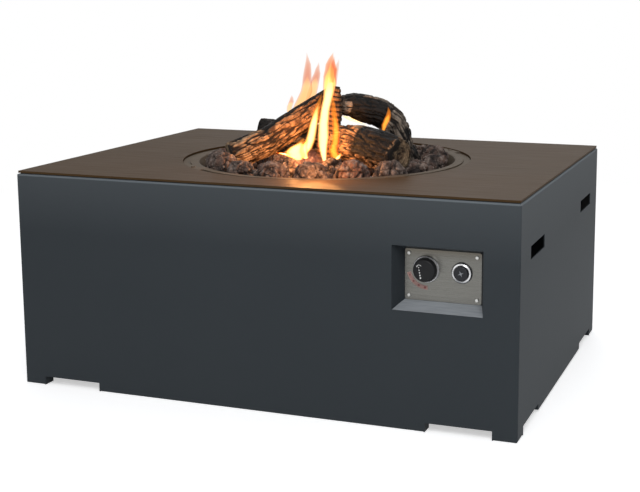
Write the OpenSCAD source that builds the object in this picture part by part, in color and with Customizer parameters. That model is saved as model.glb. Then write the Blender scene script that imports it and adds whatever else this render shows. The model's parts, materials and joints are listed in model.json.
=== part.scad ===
// Gas fire pit table: a folded sheet-metal box body with a flat top, a round
// burner bowl with lava stones and ceramic logs, and a recessed control panel.
// Millimetres. Origin on the ground under the middle of the table, X to the
// right, Y to the back, Z up.

/* [Table top] */
// Width of the table, left to right
top_w = 1060; // [960:10:1400]
// Depth of the table, front to back
top_d = 790; // [760:10:1100]
// Height of the table top above the ground
top_h = 452; // [440:2:600]
// Thickness of the table top plate
top_t = 4; // [3:0.5:6]
// How far the edge of the top plate lies inside the outside of the body
top_inset = 2; // [1:0.5:3.5]
// Corner radius of the table top plate
top_corner_r = 2.5; // [1:0.5:6]
// Width of the lowered ledge between the bowl flange and the round opening
ledge_w = 16; // [12:1:30]
// Thickness of the seal under the table top
seal_t = 2; // [1:0.5:4]
// Width of the seal strip
seal_w = 8; // [5:1:10]
// Distance of the seal strip from the outside of the body
seal_inset = 5; // [4:0.5:6]

/* [Body] */
// Thickness of the body sheet
sheet_t = 2; // [1.5:0.5:2.5]
// Outside radius of the bent edges
bend_r = 4; // [3:0.5:4]
// Depth of the flanges turned in along the top and bottom
flange_d = 28; // [28:1:40]
// Gap at the seam between two panels
seam_gap = 0.3; // [0.1:0.1:0.5]
// Width of each corner foot
foot_w = 48; // [44:1:70]
// Length of each cut-out between a foot and the skirt
notch_l = 130; // [80:5:140]
// Height of each cut-out
notch_h = 18; // [12:1:30]
// Height of the side skirts above the ground
side_skirt_lift = 5; // [3:1:10]
// Length of a side slot
slot_l = 120; // [80:5:140]
// Height of a side slot
slot_h = 26; // [20:1:34]
// Distance between the centres of the two slots in one side
slot_spacing = 500; // [420:10:520]
// Distance of the slot centres below the table top
slot_drop = 112; // [80:1:140]

/* [Body fixings] */
// Leg width of the corner angles
angle_w = 30; // [28:1:40]
// Thickness of the corner angles
angle_t = 3; // [2:0.5:4]
// Radius of the weld studs on the panels
stud_r = 2.5; // [2:0.5:3]
// Distance of the outer studs from the top and bottom of the body
stud_end = 60; // [40:5:90]
// Distance of the studs from the inner corner of the body
stud_in = 19; // [18:0.5:22]
// Thickness of a nut
nut_t = 4.5; // [3:0.5:6]
// Radius of the studs under the table top
top_stud_r = 3; // [2:0.5:4]
// Distance of the table top studs from the outside of the body
top_stud_in = 20; // [18:0.5:22]
// Width of a stiffener channel
channel_w = 40; // [30:1:60]
// Height of a stiffener channel
channel_h = 22; // [16:1:30]
// Distance from the round opening to the stiffener channels
channel_gap = 25; // [10:1:60]

/* [Control recess] */
// Distance of the recess centre from the right end of the table top
recess_in = 156; // [150:1:220]
// Distance of the recess centre below the table top
recess_drop = 158.5; // [130:0.5:180]
// Width of the recess at the front panel
recess_w = 176; // [170:1:190]
// Height of the recess at the front panel
recess_h = 124; // [114:1:150]
// Depth from the front panel to the control plate
recess_depth = 39; // [30:1:60]
// Thickness of the recess box
box_t = 1.5; // [1:0.25:2]
// Width of the flange around the recess box
box_flange = 13; // [12:1:16]
// Width of the ledge that carries the control plate
box_ledge = 13; // [12:1:16]
// Radius of the studs that hold the recess box
box_stud_r = 2; // [1.5:0.5:2.5]
// Width of the control plate
plate_w = 149; // [140:1:160]
// Height of the control plate
plate_h = 98; // [90:1:110]
// Thickness of the control plate
plate_t = 1.5; // [1:0.25:2]
// Corner radius of the control plate
plate_corner_r = 4; // [2:0.5:6]
// Gap around the control plate
plate_gap = 0.4; // [0.2:0.1:0.8]
// Distance of the plate screws from the plate edges
plate_screw_in = 8.5; // [7:0.5:9]
// Radius of a plate screw
plate_screw_r = 2; // [1.5:0.25:2.5]

/* [Gas knob and valve] */
// Distance of the knob axis to the left of the plate centre
knob_left = 31; // [28:0.5:34]
// Distance of the knob axis above the plate centre
knob_up = 12.5; // [8:0.5:14]
// Radius of the knob at its base
knob_r = 23.5; // [22:0.5:24]
// Radius of the knob at its face
knob_face_r = 21.5; // [20:0.5:22]
// Distance from the control plate to the knob face
knob_proud = 22; // [20:0.5:26]
// Distance from the control plate to the back of the knob
knob_back = 5.5; // [5.5:0.5:8]
// Travel of the knob when it is pressed
knob_travel = 4; // [2:0.5:4]
// Outside radius of the knob bezel
bezel_r = 26; // [25.5:0.5:27]
// Height of the knob bezel
bezel_h = 7; // [4:0.5:8]
// Radius of the valve spindle
spindle_r = 4; // [3:0.5:5]
// Running clearance around the spindle and the plug
run_gap = 0.05; // [0.02:0.01:0.1]
// Radius of the threaded valve neck
neck_r = 8; // [7:0.5:9]
// Radius of the valve barrel
barrel_r = 17; // [16:0.5:20]
// Length of the valve barrel
barrel_l = 42; // [40:1:60]
// Radius of the large end of the gas plug
plug_r = 11; // [10:0.5:12]
// Length of the gas plug
plug_l = 30; // [30:1:34]
// Narrowing of the plug radius over its length
plug_taper = 3; // [2:0.5:3]
// Radius of the gas inlet spigot, a quarter inch pipe thread
inlet_r = 6.58; // [5:0.01:8]
// Length of the gas inlet spigot
inlet_l = 14; // [10:1:20]

/* [Igniter] */
// Distance of the igniter axis to the right of the plate centre
igniter_right = 37; // [34:0.5:40]
// Distance of the igniter axis above the plate centre
igniter_up = 9.5; // [6:0.5:14]
// Outside radius of the igniter bezel
igniter_bezel_r = 20.5; // [19:0.5:22]
// Radius of the igniter button
button_r = 14; // [13:0.5:15]
// Distance from the control plate to the button face
button_proud = 10; // [9:0.5:13]
// Travel of the igniter button
button_travel = 3; // [2:0.5:3]
// Radius of the button's plunger
plunger_r = 10.9; // [9:0.1:11]
// Radius of the battery
battery_r = 7.2; // [5:0.1:8]
// Length of the battery
battery_l = 50; // [44:1:52]
// Wall of the igniter housing
housing_wall = 2.4; // [2:0.2:3]

/* [Burner] */
// Radius of the burner bowl at its rim
bowl_r = 280; // [275:1:284]
// Distance that the bowl wall draws in between rim and floor
bowl_draft = 23; // [20:1:26]
// Depth of the bowl below its rim
bowl_depth = 48; // [44:1:56]
// Thickness of the bowl
bowl_t = 2; // [1:0.25:3]
// Width of the bowl flange
flange_w = 20; // [16:1:26]
// Gap between the bowl's lugs and the table top
lug_gap = 0.5; // [0.2:0.1:1]
// Angle that each lug of the bowl spans
lug_angle = 15; // [12:1:20]
// Thickness of the hangers that carry the bowl
hanger_t = 2; // [1.5:0.5:3]
// Width of a hanger
hanger_w = 60; // [40:1:70]
// Radius of the burner ring's centre line
ring_r = 150; // [146:1:150]
// Radius of the burner ring's tube
ring_tube_r = 11; // [9:0.5:11]
// Wall of the burner ring's tube and arms
burner_wall = 1.5; // [1:0.25:2]
// Height of the burner ring's tube axis above the bowl floor
ring_lift = 14; // [12:1:16]
// Number of gas ports in the burner ring
port_count = 36; // [24:4:48]
// Radius of a gas port
port_r = 1.4; // [1:0.1:2]
// Radius of the burner's threaded stub
stub_r = 10; // [8:0.5:12]
// Radius of the heat shield
shield_r = 210; // [190:5:230]
// Distance from the bowl floor down to the heat shield
shield_drop = 50; // [45:1:52]
// Radius of the gas pipe
pipe_r = 4; // [3:0.5:5]

/* [Stones and logs] */
// Half the depth, from the bowl wall inwards, of a stone in the outer ring
stone_r = 36; // [28:0.5:40]
// Height of the tallest lava stones
stone_h = 84; // [60:1:90]
// Gap between neighbouring stones
stone_gap = 1; // [0.5:0.5:4]
// Gap between a log and what it lies on
log_gap = 0.3; // [0.1:0.1:0.6]
// Radius of the long front log at its lower end
long_log_r = 37; // [30:1:40]
// Radius of the right log at its thick end
right_log_r = 44; // [38:1:48]
// Radius of the bent log
bent_log_r = 33; // [28:1:36]
// Radius of the back log
back_log_r = 35; // [30:1:38]
// Radius of the upright log
upright_log_r = 20; // [16:1:22]

/* [Hidden] */
$fn = 64;

// Overall sizes of the body under the top
body_w = top_w;
body_d = top_d;
body_h = top_h - top_t - seal_t;
half_w = body_w / 2;
half_d = body_d / 2;
top_under = top_h - top_t;
thread_gap = 0.05;
hole_gap = 0.25;
eps = 0.01;

// Heights of the studs on the corner angles
stud_zs = [stud_end, body_h / 2, body_h - stud_end];
stud_l = angle_t + nut_t + 2;
nut_r = stud_r * 2.2;
top_nut_r = top_stud_r * 2;
top_stud_x = half_w - 120;
top_stud_y = half_d - 120;
top_stud_l = seal_t + sheet_t + nut_t + 2;

// Planes of the control recess, as distances in Y
front_y = -half_d;
panel_back_y = front_y + sheet_t;
plate_y = front_y + recess_depth;
plate_back_y = plate_y + plate_t;
box_back_y = plate_back_y + box_t;
recess_x = top_w / 2 - recess_in;
recess_z = top_h - recess_drop;
box_stud_l = box_t + nut_t;
box_nut_r = box_stud_r * 2;

// Places of the knob and the igniter
knob_x = recess_x - knob_left;
knob_z = recess_z + knob_up;
igniter_x = recess_x + igniter_right;
igniter_z = recess_z + igniter_up;

// Lengths along the knob axis
bezel_base = 1;
bezel_wall = 1.8;
neck_nut_t = 4;
neck_nut_r = 14;
neck_end = bezel_base + neck_nut_t + 0.8;
bonnet_t = 5;
bonnet_r = barrel_r - 1;
plug_gap_end = 0.3;
plug_start_y = plate_back_y + bonnet_t + plug_gap_end;
plug_end_y = plug_start_y + plug_l;
barrel_end_y = plate_back_y + bonnet_t + barrel_l;
spindle_end_y = plug_start_y + 14;
spindle_shoulder_y = plug_start_y - knob_travel - 0.5;
spring_seat_y = plug_end_y - 2;
knob_cavity_r = neck_nut_r + 3;
knob_hub_r = 7.5;
knob_hub_back = neck_end + knob_travel + 1;
knob_roof = 8;
spindle_flat = spindle_r - 1;
magnet_r = 9.5;
magnet_l = 24;
boss_r = 8;
port_bore_r = pipe_r - 1;
boss_reach = barrel_r + 15;
boss_y = plate_back_y + bonnet_t + 22;

// Lengths along the igniter axis
button_back = 5;
plunger_end_y = plate_back_y + 9;
igniter_spring_l = 10;
battery_y = plunger_end_y + igniter_spring_l;
housing_r = plunger_r + 0.08 + housing_wall;
housing_end_y = battery_y + battery_l + 2;
housing_front = 1.5;
pulse_l = 24;

// Heights in the burner
rim_z = top_under + bowl_t;
floor_z = rim_z - bowl_depth;
floor_r = bowl_r - bowl_draft;
flange_r = bowl_r + flange_w;
opening_r = flange_r + ledge_w;
lug_r = opening_r - lug_gap;
bowl_screw_r = 2.5;
bowl_screw_at = (flange_r + lug_r) / 2;
hanger_in_r = bowl_r + bowl_t + 6;
hanger_out_r = opening_r + 30;
ring_z = floor_z + ring_lift;
hub_top_z = floor_z + 2 * ring_lift;
stub_z = floor_z - 24;
mixer_top_z = stub_z + 7;
mixer_z = floor_z - 66;
mixer_wall = 4;
injector_r = 7;
shield_z = floor_z - shield_drop;

// Places of the flame sensor and the spark electrode beside the burner ring
sensor_r = ring_r + ring_tube_r + 5.5;
thermo_angle = -62;
spark_angle = -71;
thermo_p = [sensor_r * cos(thermo_angle), sensor_r * sin(thermo_angle)];
spark_p = [sensor_r * cos(spark_angle), sensor_r * sin(spark_angle)];

// Rings of lava stones: the outer ring lies against the bowl, the inner ring inside the burner ring
outer_ring_r = floor_r - stone_r - stone_gap;
inner_limit = ring_r - ring_tube_r - stone_gap;
inner_ring_r = inner_limit * 0.72;
core_ring_r = inner_limit * 0.31;
arm_clear = ring_tube_r - 3 + stone_gap;

// Joints of the gas pipe's route, from the valve to the injector
pipe_z = mixer_z - 62;
pipe_points = [
  [knob_x - boss_reach, boss_y, knob_z],
  [knob_x - boss_reach - 60, boss_y, knob_z],
  [0, -150, pipe_z],
  [0, 0, pipe_z],
  [0, 0, mixer_z - 16],
];
pipe_bend_r = 32;

// Joints of the two leads' routes
lead_r = 1.5;
magnet_end_y = barrel_end_y + magnet_l;
thermo_lead_points = [
  [thermo_p[0], thermo_p[1], floor_z - 16],
  [thermo_p[0], thermo_p[1], floor_z - 34],
  [170, -200, floor_z - 34],
  [knob_x, -200, knob_z + 12],
  [knob_x, -200, knob_z],
  [knob_x, magnet_end_y + 9, knob_z],
];
spark_lead_points = [
  [spark_p[0], spark_p[1], floor_z - 24],
  [spark_p[0], spark_p[1], floor_z - 42],
  [150, -252, floor_z - 38],
  [igniter_x, -190, igniter_z + 20],
  [igniter_x, -190, igniter_z],
  [igniter_x, housing_end_y + pulse_l, igniter_z],
];
lead_bend_r = 10;

// Logs: joints of each log's axis, as heights above the bowl's floor, and the radius at each joint
long_log = [[-184, -108, 58], [-118, -56, 88], [-52, -6, 140], [2, 34, 182]];
long_log_rs = [long_log_r, long_log_r - 1, long_log_r - 4, long_log_r - 10];
right_log = [[44, -34, 90], [100, -62, 90], [160, -94, 84], [208, -120, 77]];
right_log_rs = [right_log_r - 4, right_log_r, right_log_r, right_log_r - 5];
bent_log = [
  [16, 38, 164], [45, 47, 162], [73, 54, 155], [101, 64, 146], [126, 76, 126],
  [139, 88, 93], [141, 96, 66], [156, 116, 32]
];
bent_log_rs = [
  bent_log_r - 11, bent_log_r - 3, bent_log_r, bent_log_r + 1, bent_log_r,
  bent_log_r - 1, bent_log_r - 2, bent_log_r - 4
];
back_log = [[-208, 96, 90], [-140, 104, 84], [-60, 114, 76], [20, 124, 68]];
back_log_rs = [back_log_r - 2, back_log_r, back_log_r, back_log_r - 4];
upright_log = [[0, -11, 2 * ring_lift], [0, -11, 2 * ring_lift + 46], [12, -5, 144], [18, 2, 208]];
upright_log_rs = [upright_log_r, upright_log_r + 1, upright_log_r + 6, upright_log_r - 6];
log_sides = 14;
log_steps = 3;

// Rounded rectangle around the origin
module rounded_rect(w, h, r) {
  square([w - 2 * r, h], center = true);
  square([w, h - 2 * r], center = true);
  for (sx = [-1, 1], sy = [-1, 1])
    translate([sx * (w / 2 - r), sy * (h / 2 - r)])
      circle(r);
}

// Straight round bar along Y
module bar_y(r, x, z, y0, y1) {
  translate([x, y0, z])
    rotate([-90, 0, 0])
      cylinder(r = r, h = y1 - y0);
}

// Tapered round bar along Y
module cone_y(r0, r1, x, z, y0, y1) {
  translate([x, y0, z])
    rotate([-90, 0, 0])
      cylinder(r1 = r0, r2 = r1, h = y1 - y0);
}

// Hexagon nut along Z with its bore
module nut_z(r, bore, h) {
  difference() {
    cylinder(r = r, h = h, $fn = 6);
    translate([0, 0, -1])
      cylinder(r = bore, h = h + 2);
  }
}

// Hexagon nut along Y, from y0 towards the back
module nut_y(r, bore, h, x, z, y0) {
  translate([x, y0, z])
    rotate([-90, 0, 0])
      nut_z(r, bore, h);
}

// Solid of revolution around an axis along Y, drawn as radius and distance in front of y0
module turned_y(x, z, y0) {
  translate([x, y0, z])
    rotate([90, 0, 0])
      rotate_extrude()
        children();
}

// Unit vector
function unit(v) = v / norm(v);

// Points of the arc that rounds the corner q between p and s
function corner_arc(p, q, s, r, n) =
  let (
    u = unit(p - q),
    v = unit(s - q),
    turn = 180 - acos(max(-1, min(1, u * v))),
    reach = r * tan(turn / 2),
    start = q + u * reach,
    centre = q + unit(u + v) * r / cos(turn / 2),
    arm = start - centre
  )
  [for (i = [0:n]) centre + arm * cos(turn * i / n) - u * r * sin(turn * i / n)];

// Route through the points with every inner corner rounded
function rounded_route(points, r, n) = [
  points[0],
  for (i = [1:len(points) - 2]) each corner_arc(points[i - 1], points[i], points[i + 1], r, n),
  points[len(points) - 1],
];

// Direction of a route at one of its points
function direction(path, i) =
  unit(path[min(i + 1, len(path) - 1)] - path[max(i - 1, 0)]);

// Closed solid through rings of equally many points
module loft(rings) {
  n = len(rings[0]);
  m = len(rings);
  points = [for (ring = rings) each ring];
  sides = [
    for (i = [0:m - 2], j = [0:n - 1])
      let (a = i * n + j, b = i * n + (j + 1) % n)
      each [[a, a + n, b], [b, a + n, b + n]]
  ];
  start_cap = [for (j = [1:n - 2]) [0, j, j + 1]];
  last = (m - 1) * n;
  end_cap = [for (j = [1:n - 2]) [last, last + j + 1, last + j]];
  polyhedron(points, concat(sides, start_cap, end_cap));
}

// Ring of points around a centre, square to a direction
function ring_points(centre, along, r, n) =
  let (
    side = unit(cross(along, [0.31, 0.52, 0.796])),
    up = cross(along, side)
  )
  [for (j = [0:n - 1]) centre + r * cos(360 * j / n) * side + r * sin(360 * j / n) * up];

// Round tube or lead along a route
module run(path, r, n) {
  loft([for (i = [0:len(path) - 1]) ring_points(path[i], direction(path, i), r, n)]);
}

// Coil spring along Z, from 0 to l
module coil(r, wire_r, l, turns) {
  steps = 8 * turns;
  rise = (l - 2 * wire_r) / steps;
  run([for (i = [0:steps]) [r * cos(45 * i), r * sin(45 * i), wire_r + rise * i]], wire_r, 6);
  echo(least_gap = rise * 8 - 2 * wire_r);
}

// The body's outer form, drawn in by e on every side
module body_form(e) {
  r = bend_r - e;
  w = body_w - 2 * e;
  d = body_d - 2 * e;
  h = body_h - 2 * e;
  intersection() {
    translate([0, 0, e])
      linear_extrude(h)
        rounded_rect(w, d, r);
    translate([0, 0, body_h / 2])
      rotate([90, 0, 90])
        linear_extrude(w + 2, center = true)
          rounded_rect(d, h, r);
    translate([0, 0, body_h / 2])
      rotate([90, 0, 0])
        linear_extrude(d + 2, center = true)
          rounded_rect(w, h, r);
  }
}

// Folded sheet body with open top and bottom inside its flanges
module body_sheet() {
  difference() {
    body_form(0);
    body_form(sheet_t);
    translate([0, 0, body_h / 2])
      cube([body_w - 2 * flange_d, body_d - 2 * flange_d, body_h + 2], center = true);
  }
}

// Cut-out in a bottom edge of the front, from x0 to x1 and h high, lined with sheet
module lined_cut(x0, x1, h, half, lining) {
  grow = lining ? sheet_t : 0;
  out = lining ? 0 : 1;
  translate([x0 - grow, -half - out, -out])
    cube([x1 - x0 + 2 * grow, flange_d + 2 * out, h + grow + out]);
}

// The two foot cut-outs in a panel whose half length is given
module foot_cuts(half_l, half, lining) {
  x1 = half_l - foot_w;
  x0 = x1 - notch_l;
  lined_cut(x0, x1, notch_h, half, lining);
  lined_cut(-x1, -x0, notch_h, half, lining);
}

// Studs on the inner face of a panel for the corner angles
module panel_studs(half_l, half) {
  x = half_l - sheet_t - stud_in;
  for (sx = [-1, 1], z = stud_zs)
    bar_y(stud_r, sx * x, z, -half + sheet_t - eps, -half + sheet_t + stud_l);
}

// Part of the body that belongs to the front or rear panel, seen in plan
module front_region() {
  far = half_w - bend_r;
  near = -half_d + bend_r;
  translate([0, 0, -1])
    linear_extrude(body_h + 2)
      polygon([
        [-half_w - 1, -half_d - 1],
        [half_w + 1, -half_d - 1],
        [half_w + 1, near],
        [far, near],
        [far - flange_d, near + flange_d],
        [-far + flange_d, near + flange_d],
        [-far, near],
        [-half_w - 1, near],
      ]);
}

// Part of the body that belongs to the right side panel, seen in plan
module side_region() {
  far = half_w - bend_r;
  near = half_d - bend_r - seam_gap;
  translate([0, 0, -1])
    linear_extrude(body_h + 2)
      polygon([
        [half_w + 1, -near],
        [far, -near],
        [far - flange_d, -near + flange_d],
        [far - flange_d, near - flange_d],
        [far, near],
        [half_w + 1, near],
      ]);
}

// Holes for the table top's studs in the top flanges
module top_stud_holes() {
  for (x = [-top_stud_x, 0, top_stud_x], sy = [-1, 1])
    translate([x, sy * (half_d - top_stud_in), body_h - 10])
      cylinder(r = top_stud_r + hole_gap, h = 20);
  for (sx = [-1, 1], y = [-top_stud_y, top_stud_y])
    translate([sx * (half_w - top_stud_in), y, body_h - 10])
      cylinder(r = top_stud_r + hole_gap, h = 20);
}

// Folded panel of the front side, without the recess
module long_panel() {
  difference() {
    union() {
      intersection() {
        body_sheet();
        front_region();
      }
      foot_cuts(half_w, half_d, true);
    }
    foot_cuts(half_w, half_d, false);
    top_stud_holes();
  }
  panel_studs(half_w, half_d);
}

module front_panel() {
  color("#3d4347")
    difference() {
      union() {
        long_panel();
        for (sx = [-1, 1], sz = [-1, 1])
          bar_y(
            box_stud_r,
            recess_x + sx * (recess_w + box_flange) / 2,
            recess_z + sz * (recess_h + box_flange) / 2,
            panel_back_y - eps,
            panel_back_y + box_stud_l
          );
      }
      translate([recess_x, front_y, recess_z])
        cube([recess_w, 4 * sheet_t, recess_h], center = true);
    }
}

module rear_panel() {
  color("#3d4347")
    rotate([0, 0, 180])
      long_panel();
}

// Right side panel, with its slots, cut-outs and raised skirt
module side_panel() {
  skirt = half_d - foot_w - notch_l;
  difference() {
    union() {
      intersection() {
        body_sheet();
        side_region();
      }
      rotate([0, 0, 90]) {
        foot_cuts(half_d, half_w, true);
        lined_cut(-skirt + sheet_t, skirt - sheet_t, side_skirt_lift, half_w, true);
      }
    }
    rotate([0, 0, 90]) {
      foot_cuts(half_d, half_w, false);
      lined_cut(-skirt + sheet_t, skirt - sheet_t, side_skirt_lift, half_w, false);
      lined_cut(-skirt - 1, -skirt + sheet_t + 1, side_skirt_lift, half_w, false);
      lined_cut(skirt - sheet_t - 1, skirt + 1, side_skirt_lift, half_w, false);
    }
    top_stud_holes();
    for (sy = [-1, 1])
      translate([half_w, sy * slot_spacing / 2, top_h - slot_drop])
        cube([4 * sheet_t, slot_l, slot_h], center = true);
  }
  rotate([0, 0, 90])
    panel_studs(half_d, half_w);
}

module right_side_panel() {
  color("#4a5054")
    side_panel();
}

module left_side_panel() {
  color("#4a5054")
    rotate([0, 0, 180])
      side_panel();
}

// Angle inside the front right corner
module corner_angle() {
  x = half_w - sheet_t;
  y = -half_d + sheet_t;
  cut = bend_r;
  difference() {
    translate([0, 0, bend_r])
      linear_extrude(body_h - 2 * bend_r)
        polygon([
          [x - angle_w, y],
          [x - cut, y],
          [x, y + cut],
          [x, y + angle_w],
          [x - angle_t, y + angle_w],
          [x - angle_t, y + angle_t],
          [x - angle_w, y + angle_t],
        ]);
    for (z = stud_zs) {
      bar_y(stud_r + hole_gap, x - stud_in, z, y - 1, y + angle_t + 1);
      translate([x - angle_t - 1, y + stud_in, z])
        rotate([0, 90, 0])
          cylinder(r = stud_r + hole_gap, h = angle_t + 2);
    }
  }
}

module corner_angles() {
  color("#2a2d2f") {
    corner_angle();
    mirror([1, 0, 0])
      corner_angle();
    rotate([0, 0, 180]) {
      corner_angle();
      mirror([1, 0, 0])
        corner_angle();
    }
  }
}

module panel_nuts() {
  color("silver")
    for (turn = [0, 180])
      rotate([0, 0, turn])
        for (sx = [-1, 1], z = stud_zs) {
          nut_y(nut_r, stud_r + thread_gap, nut_t, sx * (half_w - sheet_t - stud_in), z,
            -half_d + sheet_t + angle_t);
          rotate([0, 0, 90])
            nut_y(nut_r, stud_r + thread_gap, nut_t, sx * (half_d - sheet_t - stud_in), z,
              -half_w + sheet_t + angle_t);
        }
}

// Places of the table top's studs
module at_top_studs() {
  for (x = [-top_stud_x, 0, top_stud_x], sy = [-1, 1])
    translate([x, sy * (half_d - top_stud_in), 0])
      children();
  for (sx = [-1, 1], y = [-top_stud_y, top_stud_y])
    translate([sx * (half_w - top_stud_in), y, 0])
      children();
}

module table_top() {
  color("#665d52") {
    difference() {
      translate([0, 0, top_under])
        linear_extrude(top_t)
          rounded_rect(top_w - 2 * top_inset, top_d - 2 * top_inset, top_corner_r);
      translate([0, 0, top_under - 1])
        cylinder(r = opening_r, h = top_t + 2, $fn = 180);
    }
    at_top_studs()
      translate([0, 0, top_under - top_stud_l])
        cylinder(r = top_stud_r, h = top_stud_l + eps);
  }
}

module top_seal() {
  w = body_w - 2 * seal_inset;
  d = body_d - 2 * seal_inset;
  color("#17181a")
    translate([0, 0, body_h])
      difference() {
        linear_extrude(seal_t)
          rounded_rect(w, d, 4);
        translate([0, 0, -1])
          linear_extrude(seal_t + 2)
            rounded_rect(w - 2 * seal_w, d - 2 * seal_w, 2);
      }
}

module top_stiffeners() {
  x = opening_r + channel_gap + channel_w / 2;
  l = body_d - 2 * flange_d - 30;
  color("#2a2d2f")
    for (sx = [-1, 1])
      translate([sx * x, 0, top_under - channel_h / 2])
        difference() {
          cube([channel_w, l, channel_h], center = true);
          translate([0, 0, -sheet_t])
            cube([channel_w - 2 * sheet_t, l + 2, channel_h], center = true);
        }
}

module top_nuts() {
  color("silver")
    at_top_studs()
      translate([0, 0, body_h - sheet_t - nut_t])
        nut_z(top_nut_r, top_stud_r + thread_gap, nut_t);
}

// Places of the four lugs that carry the bowl
module at_lugs() {
  for (a = [45:90:315])
    rotate([0, 0, a])
      children();
}

module burner_hangers() {
  color("#2a2d2f")
    at_lugs()
      difference() {
        translate([hanger_in_r, -hanger_w / 2, top_under - hanger_t])
          cube([hanger_out_r - hanger_in_r, hanger_w, hanger_t]);
        translate([bowl_screw_at, 0, top_under - hanger_t - 1])
          cylinder(r = bowl_screw_r + hole_gap, h = hanger_t + 2);
      }
}

// Half section of the bowl as radius and height
function bowl_section() = [
  [0, floor_z],
  [floor_r, floor_z],
  [floor_r + 5, floor_z + 2],
  [floor_r + 8, floor_z + 8],
  [bowl_r, rim_z - 4],
  [bowl_r + 1.2, rim_z - 1.2],
  [bowl_r + 4, rim_z],
  [flange_r, rim_z],
  [flange_r, rim_z - bowl_t],
  [bowl_r + 4.4, rim_z - bowl_t],
  [bowl_r + bowl_t, rim_z - 4.4],
  [floor_r + 8 + bowl_t, floor_z + 7.4],
  [floor_r + 6, floor_z + 2 - bowl_t],
  [floor_r + 0.6, floor_z - bowl_t],
  [0, floor_z - bowl_t],
];

// Lowered ledge around the flange, left out where a hanger passes
module bowl_ledge() {
  ledge_z = top_under - 0.5;
  side_gap = 1;
  difference() {
    rotate_extrude($fn = 180)
      polygon([
        [flange_r - bowl_t, rim_z - bowl_t / 2],
        [flange_r, rim_z - bowl_t / 2],
        [flange_r, ledge_z],
        [lug_r, ledge_z],
        [lug_r, ledge_z - bowl_t],
        [flange_r - bowl_t, ledge_z - bowl_t],
      ]);
    at_lugs()
      translate([hanger_in_r - 1, -hanger_w / 2 - side_gap, top_under - hanger_t - 4])
        cube([lug_r, hanger_w + 2 * side_gap, hanger_t + 4]);
  }
}

module burner_bowl() {
  reach = 2 * lug_r;
  color("#6f675c")
    difference() {
      union() {
        rotate_extrude($fn = 180)
          polygon(bowl_section());
        bowl_ledge();
        at_lugs()
          translate([0, 0, rim_z - bowl_t])
            linear_extrude(bowl_t)
              intersection() {
                difference() {
                  circle(lug_r, $fn = 180);
                  circle(flange_r - 1, $fn = 180);
                }
                polygon([
                  [0, 0],
                  [reach, -reach * tan(lug_angle / 2)],
                  [reach, reach * tan(lug_angle / 2)],
                ]);
              }
      }
      at_lugs()
        translate([bowl_screw_at, 0, rim_z - bowl_t - 1])
          cylinder(r = bowl_screw_r + hole_gap, h = bowl_t + 2);
      for (a = [0:90:270])
        rotate([0, 0, a])
          translate([ring_r + 40, 0, floor_z - bowl_t - 1])
            cylinder(r = 5, h = bowl_t + 2);
      translate([0, 0, floor_z - bowl_t - 1])
        cylinder(r = stub_r + hole_gap, h = bowl_t + 2);
      for (p = [thermo_p, spark_p])
        translate([p[0], p[1], floor_z - bowl_t - 1])
          cylinder(r = 4, h = bowl_t + 2);
    }
}

module bowl_screws() {
  head_h = top_t - bowl_t;
  color("silver")
    at_lugs()
      translate([bowl_screw_at, 0, 0]) {
        translate([0, 0, rim_z])
          cylinder(r1 = 5, r2 = 4.2, h = head_h);
        translate([0, 0, top_under - hanger_t - nut_t - 2])
          cylinder(r = bowl_screw_r, h = hanger_t + nut_t + 2 + bowl_t + eps);
      }
}

module bowl_nuts() {
  color("silver")
    at_lugs()
      translate([bowl_screw_at, 0, top_under - hanger_t - nut_t])
        nut_z(2 * bowl_screw_r, bowl_screw_r + thread_gap, nut_t);
}

// Ring tube and its four arms, of a given tube and arm radius
module burner_tubes(tube_r, arm_r) {
  translate([0, 0, ring_z])
    rotate_extrude($fn = 120)
      translate([ring_r, 0])
        circle(tube_r, $fn = 40);
  for (a = [0:90:270])
    rotate([0, 0, a])
      translate([0, 0, ring_z])
        rotate([0, 90, 0])
          cylinder(r = arm_r, h = ring_r);
}

module burner_ring() {
  color("#8b8780")
    difference() {
      union() {
        burner_tubes(ring_tube_r, ring_tube_r - 3);
        translate([0, 0, floor_z])
          cylinder(r = stub_r + 6, h = hub_top_z - floor_z);
        translate([0, 0, stub_z])
          cylinder(r = stub_r, h = floor_z - stub_z + 1);
      }
      burner_tubes(ring_tube_r - burner_wall, ring_tube_r - 3 - burner_wall);
      translate([0, 0, stub_z - 1])
        cylinder(r = stub_r - 4, h = ring_z - stub_z + 1);
      for (i = [0:port_count - 1])
        rotate([0, 0, 360 * (i + 0.5) / port_count])
          translate([ring_r, 0, ring_z + ring_tube_r - burner_wall - 1])
            cylinder(r = port_r, h = burner_wall + 3, $fn = 16);
    }
}

module burner_locknut() {
  color("#b8a35a")
    translate([0, 0, floor_z - bowl_t - 6])
      nut_z(stub_r + 8, stub_r + thread_gap, 6);
}

module air_mixer() {
  outer = stub_r + mixer_wall;
  color("#b8a35a")
    difference() {
      translate([0, 0, mixer_z])
        cylinder(r = outer, h = mixer_top_z - mixer_z);
      translate([0, 0, mixer_z + 7])
        cylinder(r = stub_r + thread_gap, h = mixer_top_z);
      translate([0, 0, mixer_z - 1])
        cylinder(r = injector_r + thread_gap, h = 10);
      for (a = [0, 90])
        translate([0, 0, mixer_z + 28])
          rotate([90, 0, a])
            cylinder(r = 4, h = 4 * outer, center = true);
    }
}

module injector() {
  color("#c9b063")
    difference() {
      union() {
        translate([0, 0, mixer_z])
          cylinder(r = injector_r, h = 10);
        translate([0, 0, mixer_z + 10])
          cylinder(r1 = injector_r - 1, r2 = 3, h = 8);
        translate([0, 0, mixer_z - 8])
          cylinder(r = injector_r + 5, h = 8, $fn = 6);
        translate([0, 0, mixer_z - 16])
          cylinder(r = injector_r, h = 9);
      }
      translate([0, 0, mixer_z - 17])
        cylinder(r = 2.5, h = 28);
      translate([0, 0, mixer_z])
        cylinder(r = 0.7, h = 20, $fn = 24);
    }
}

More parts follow.
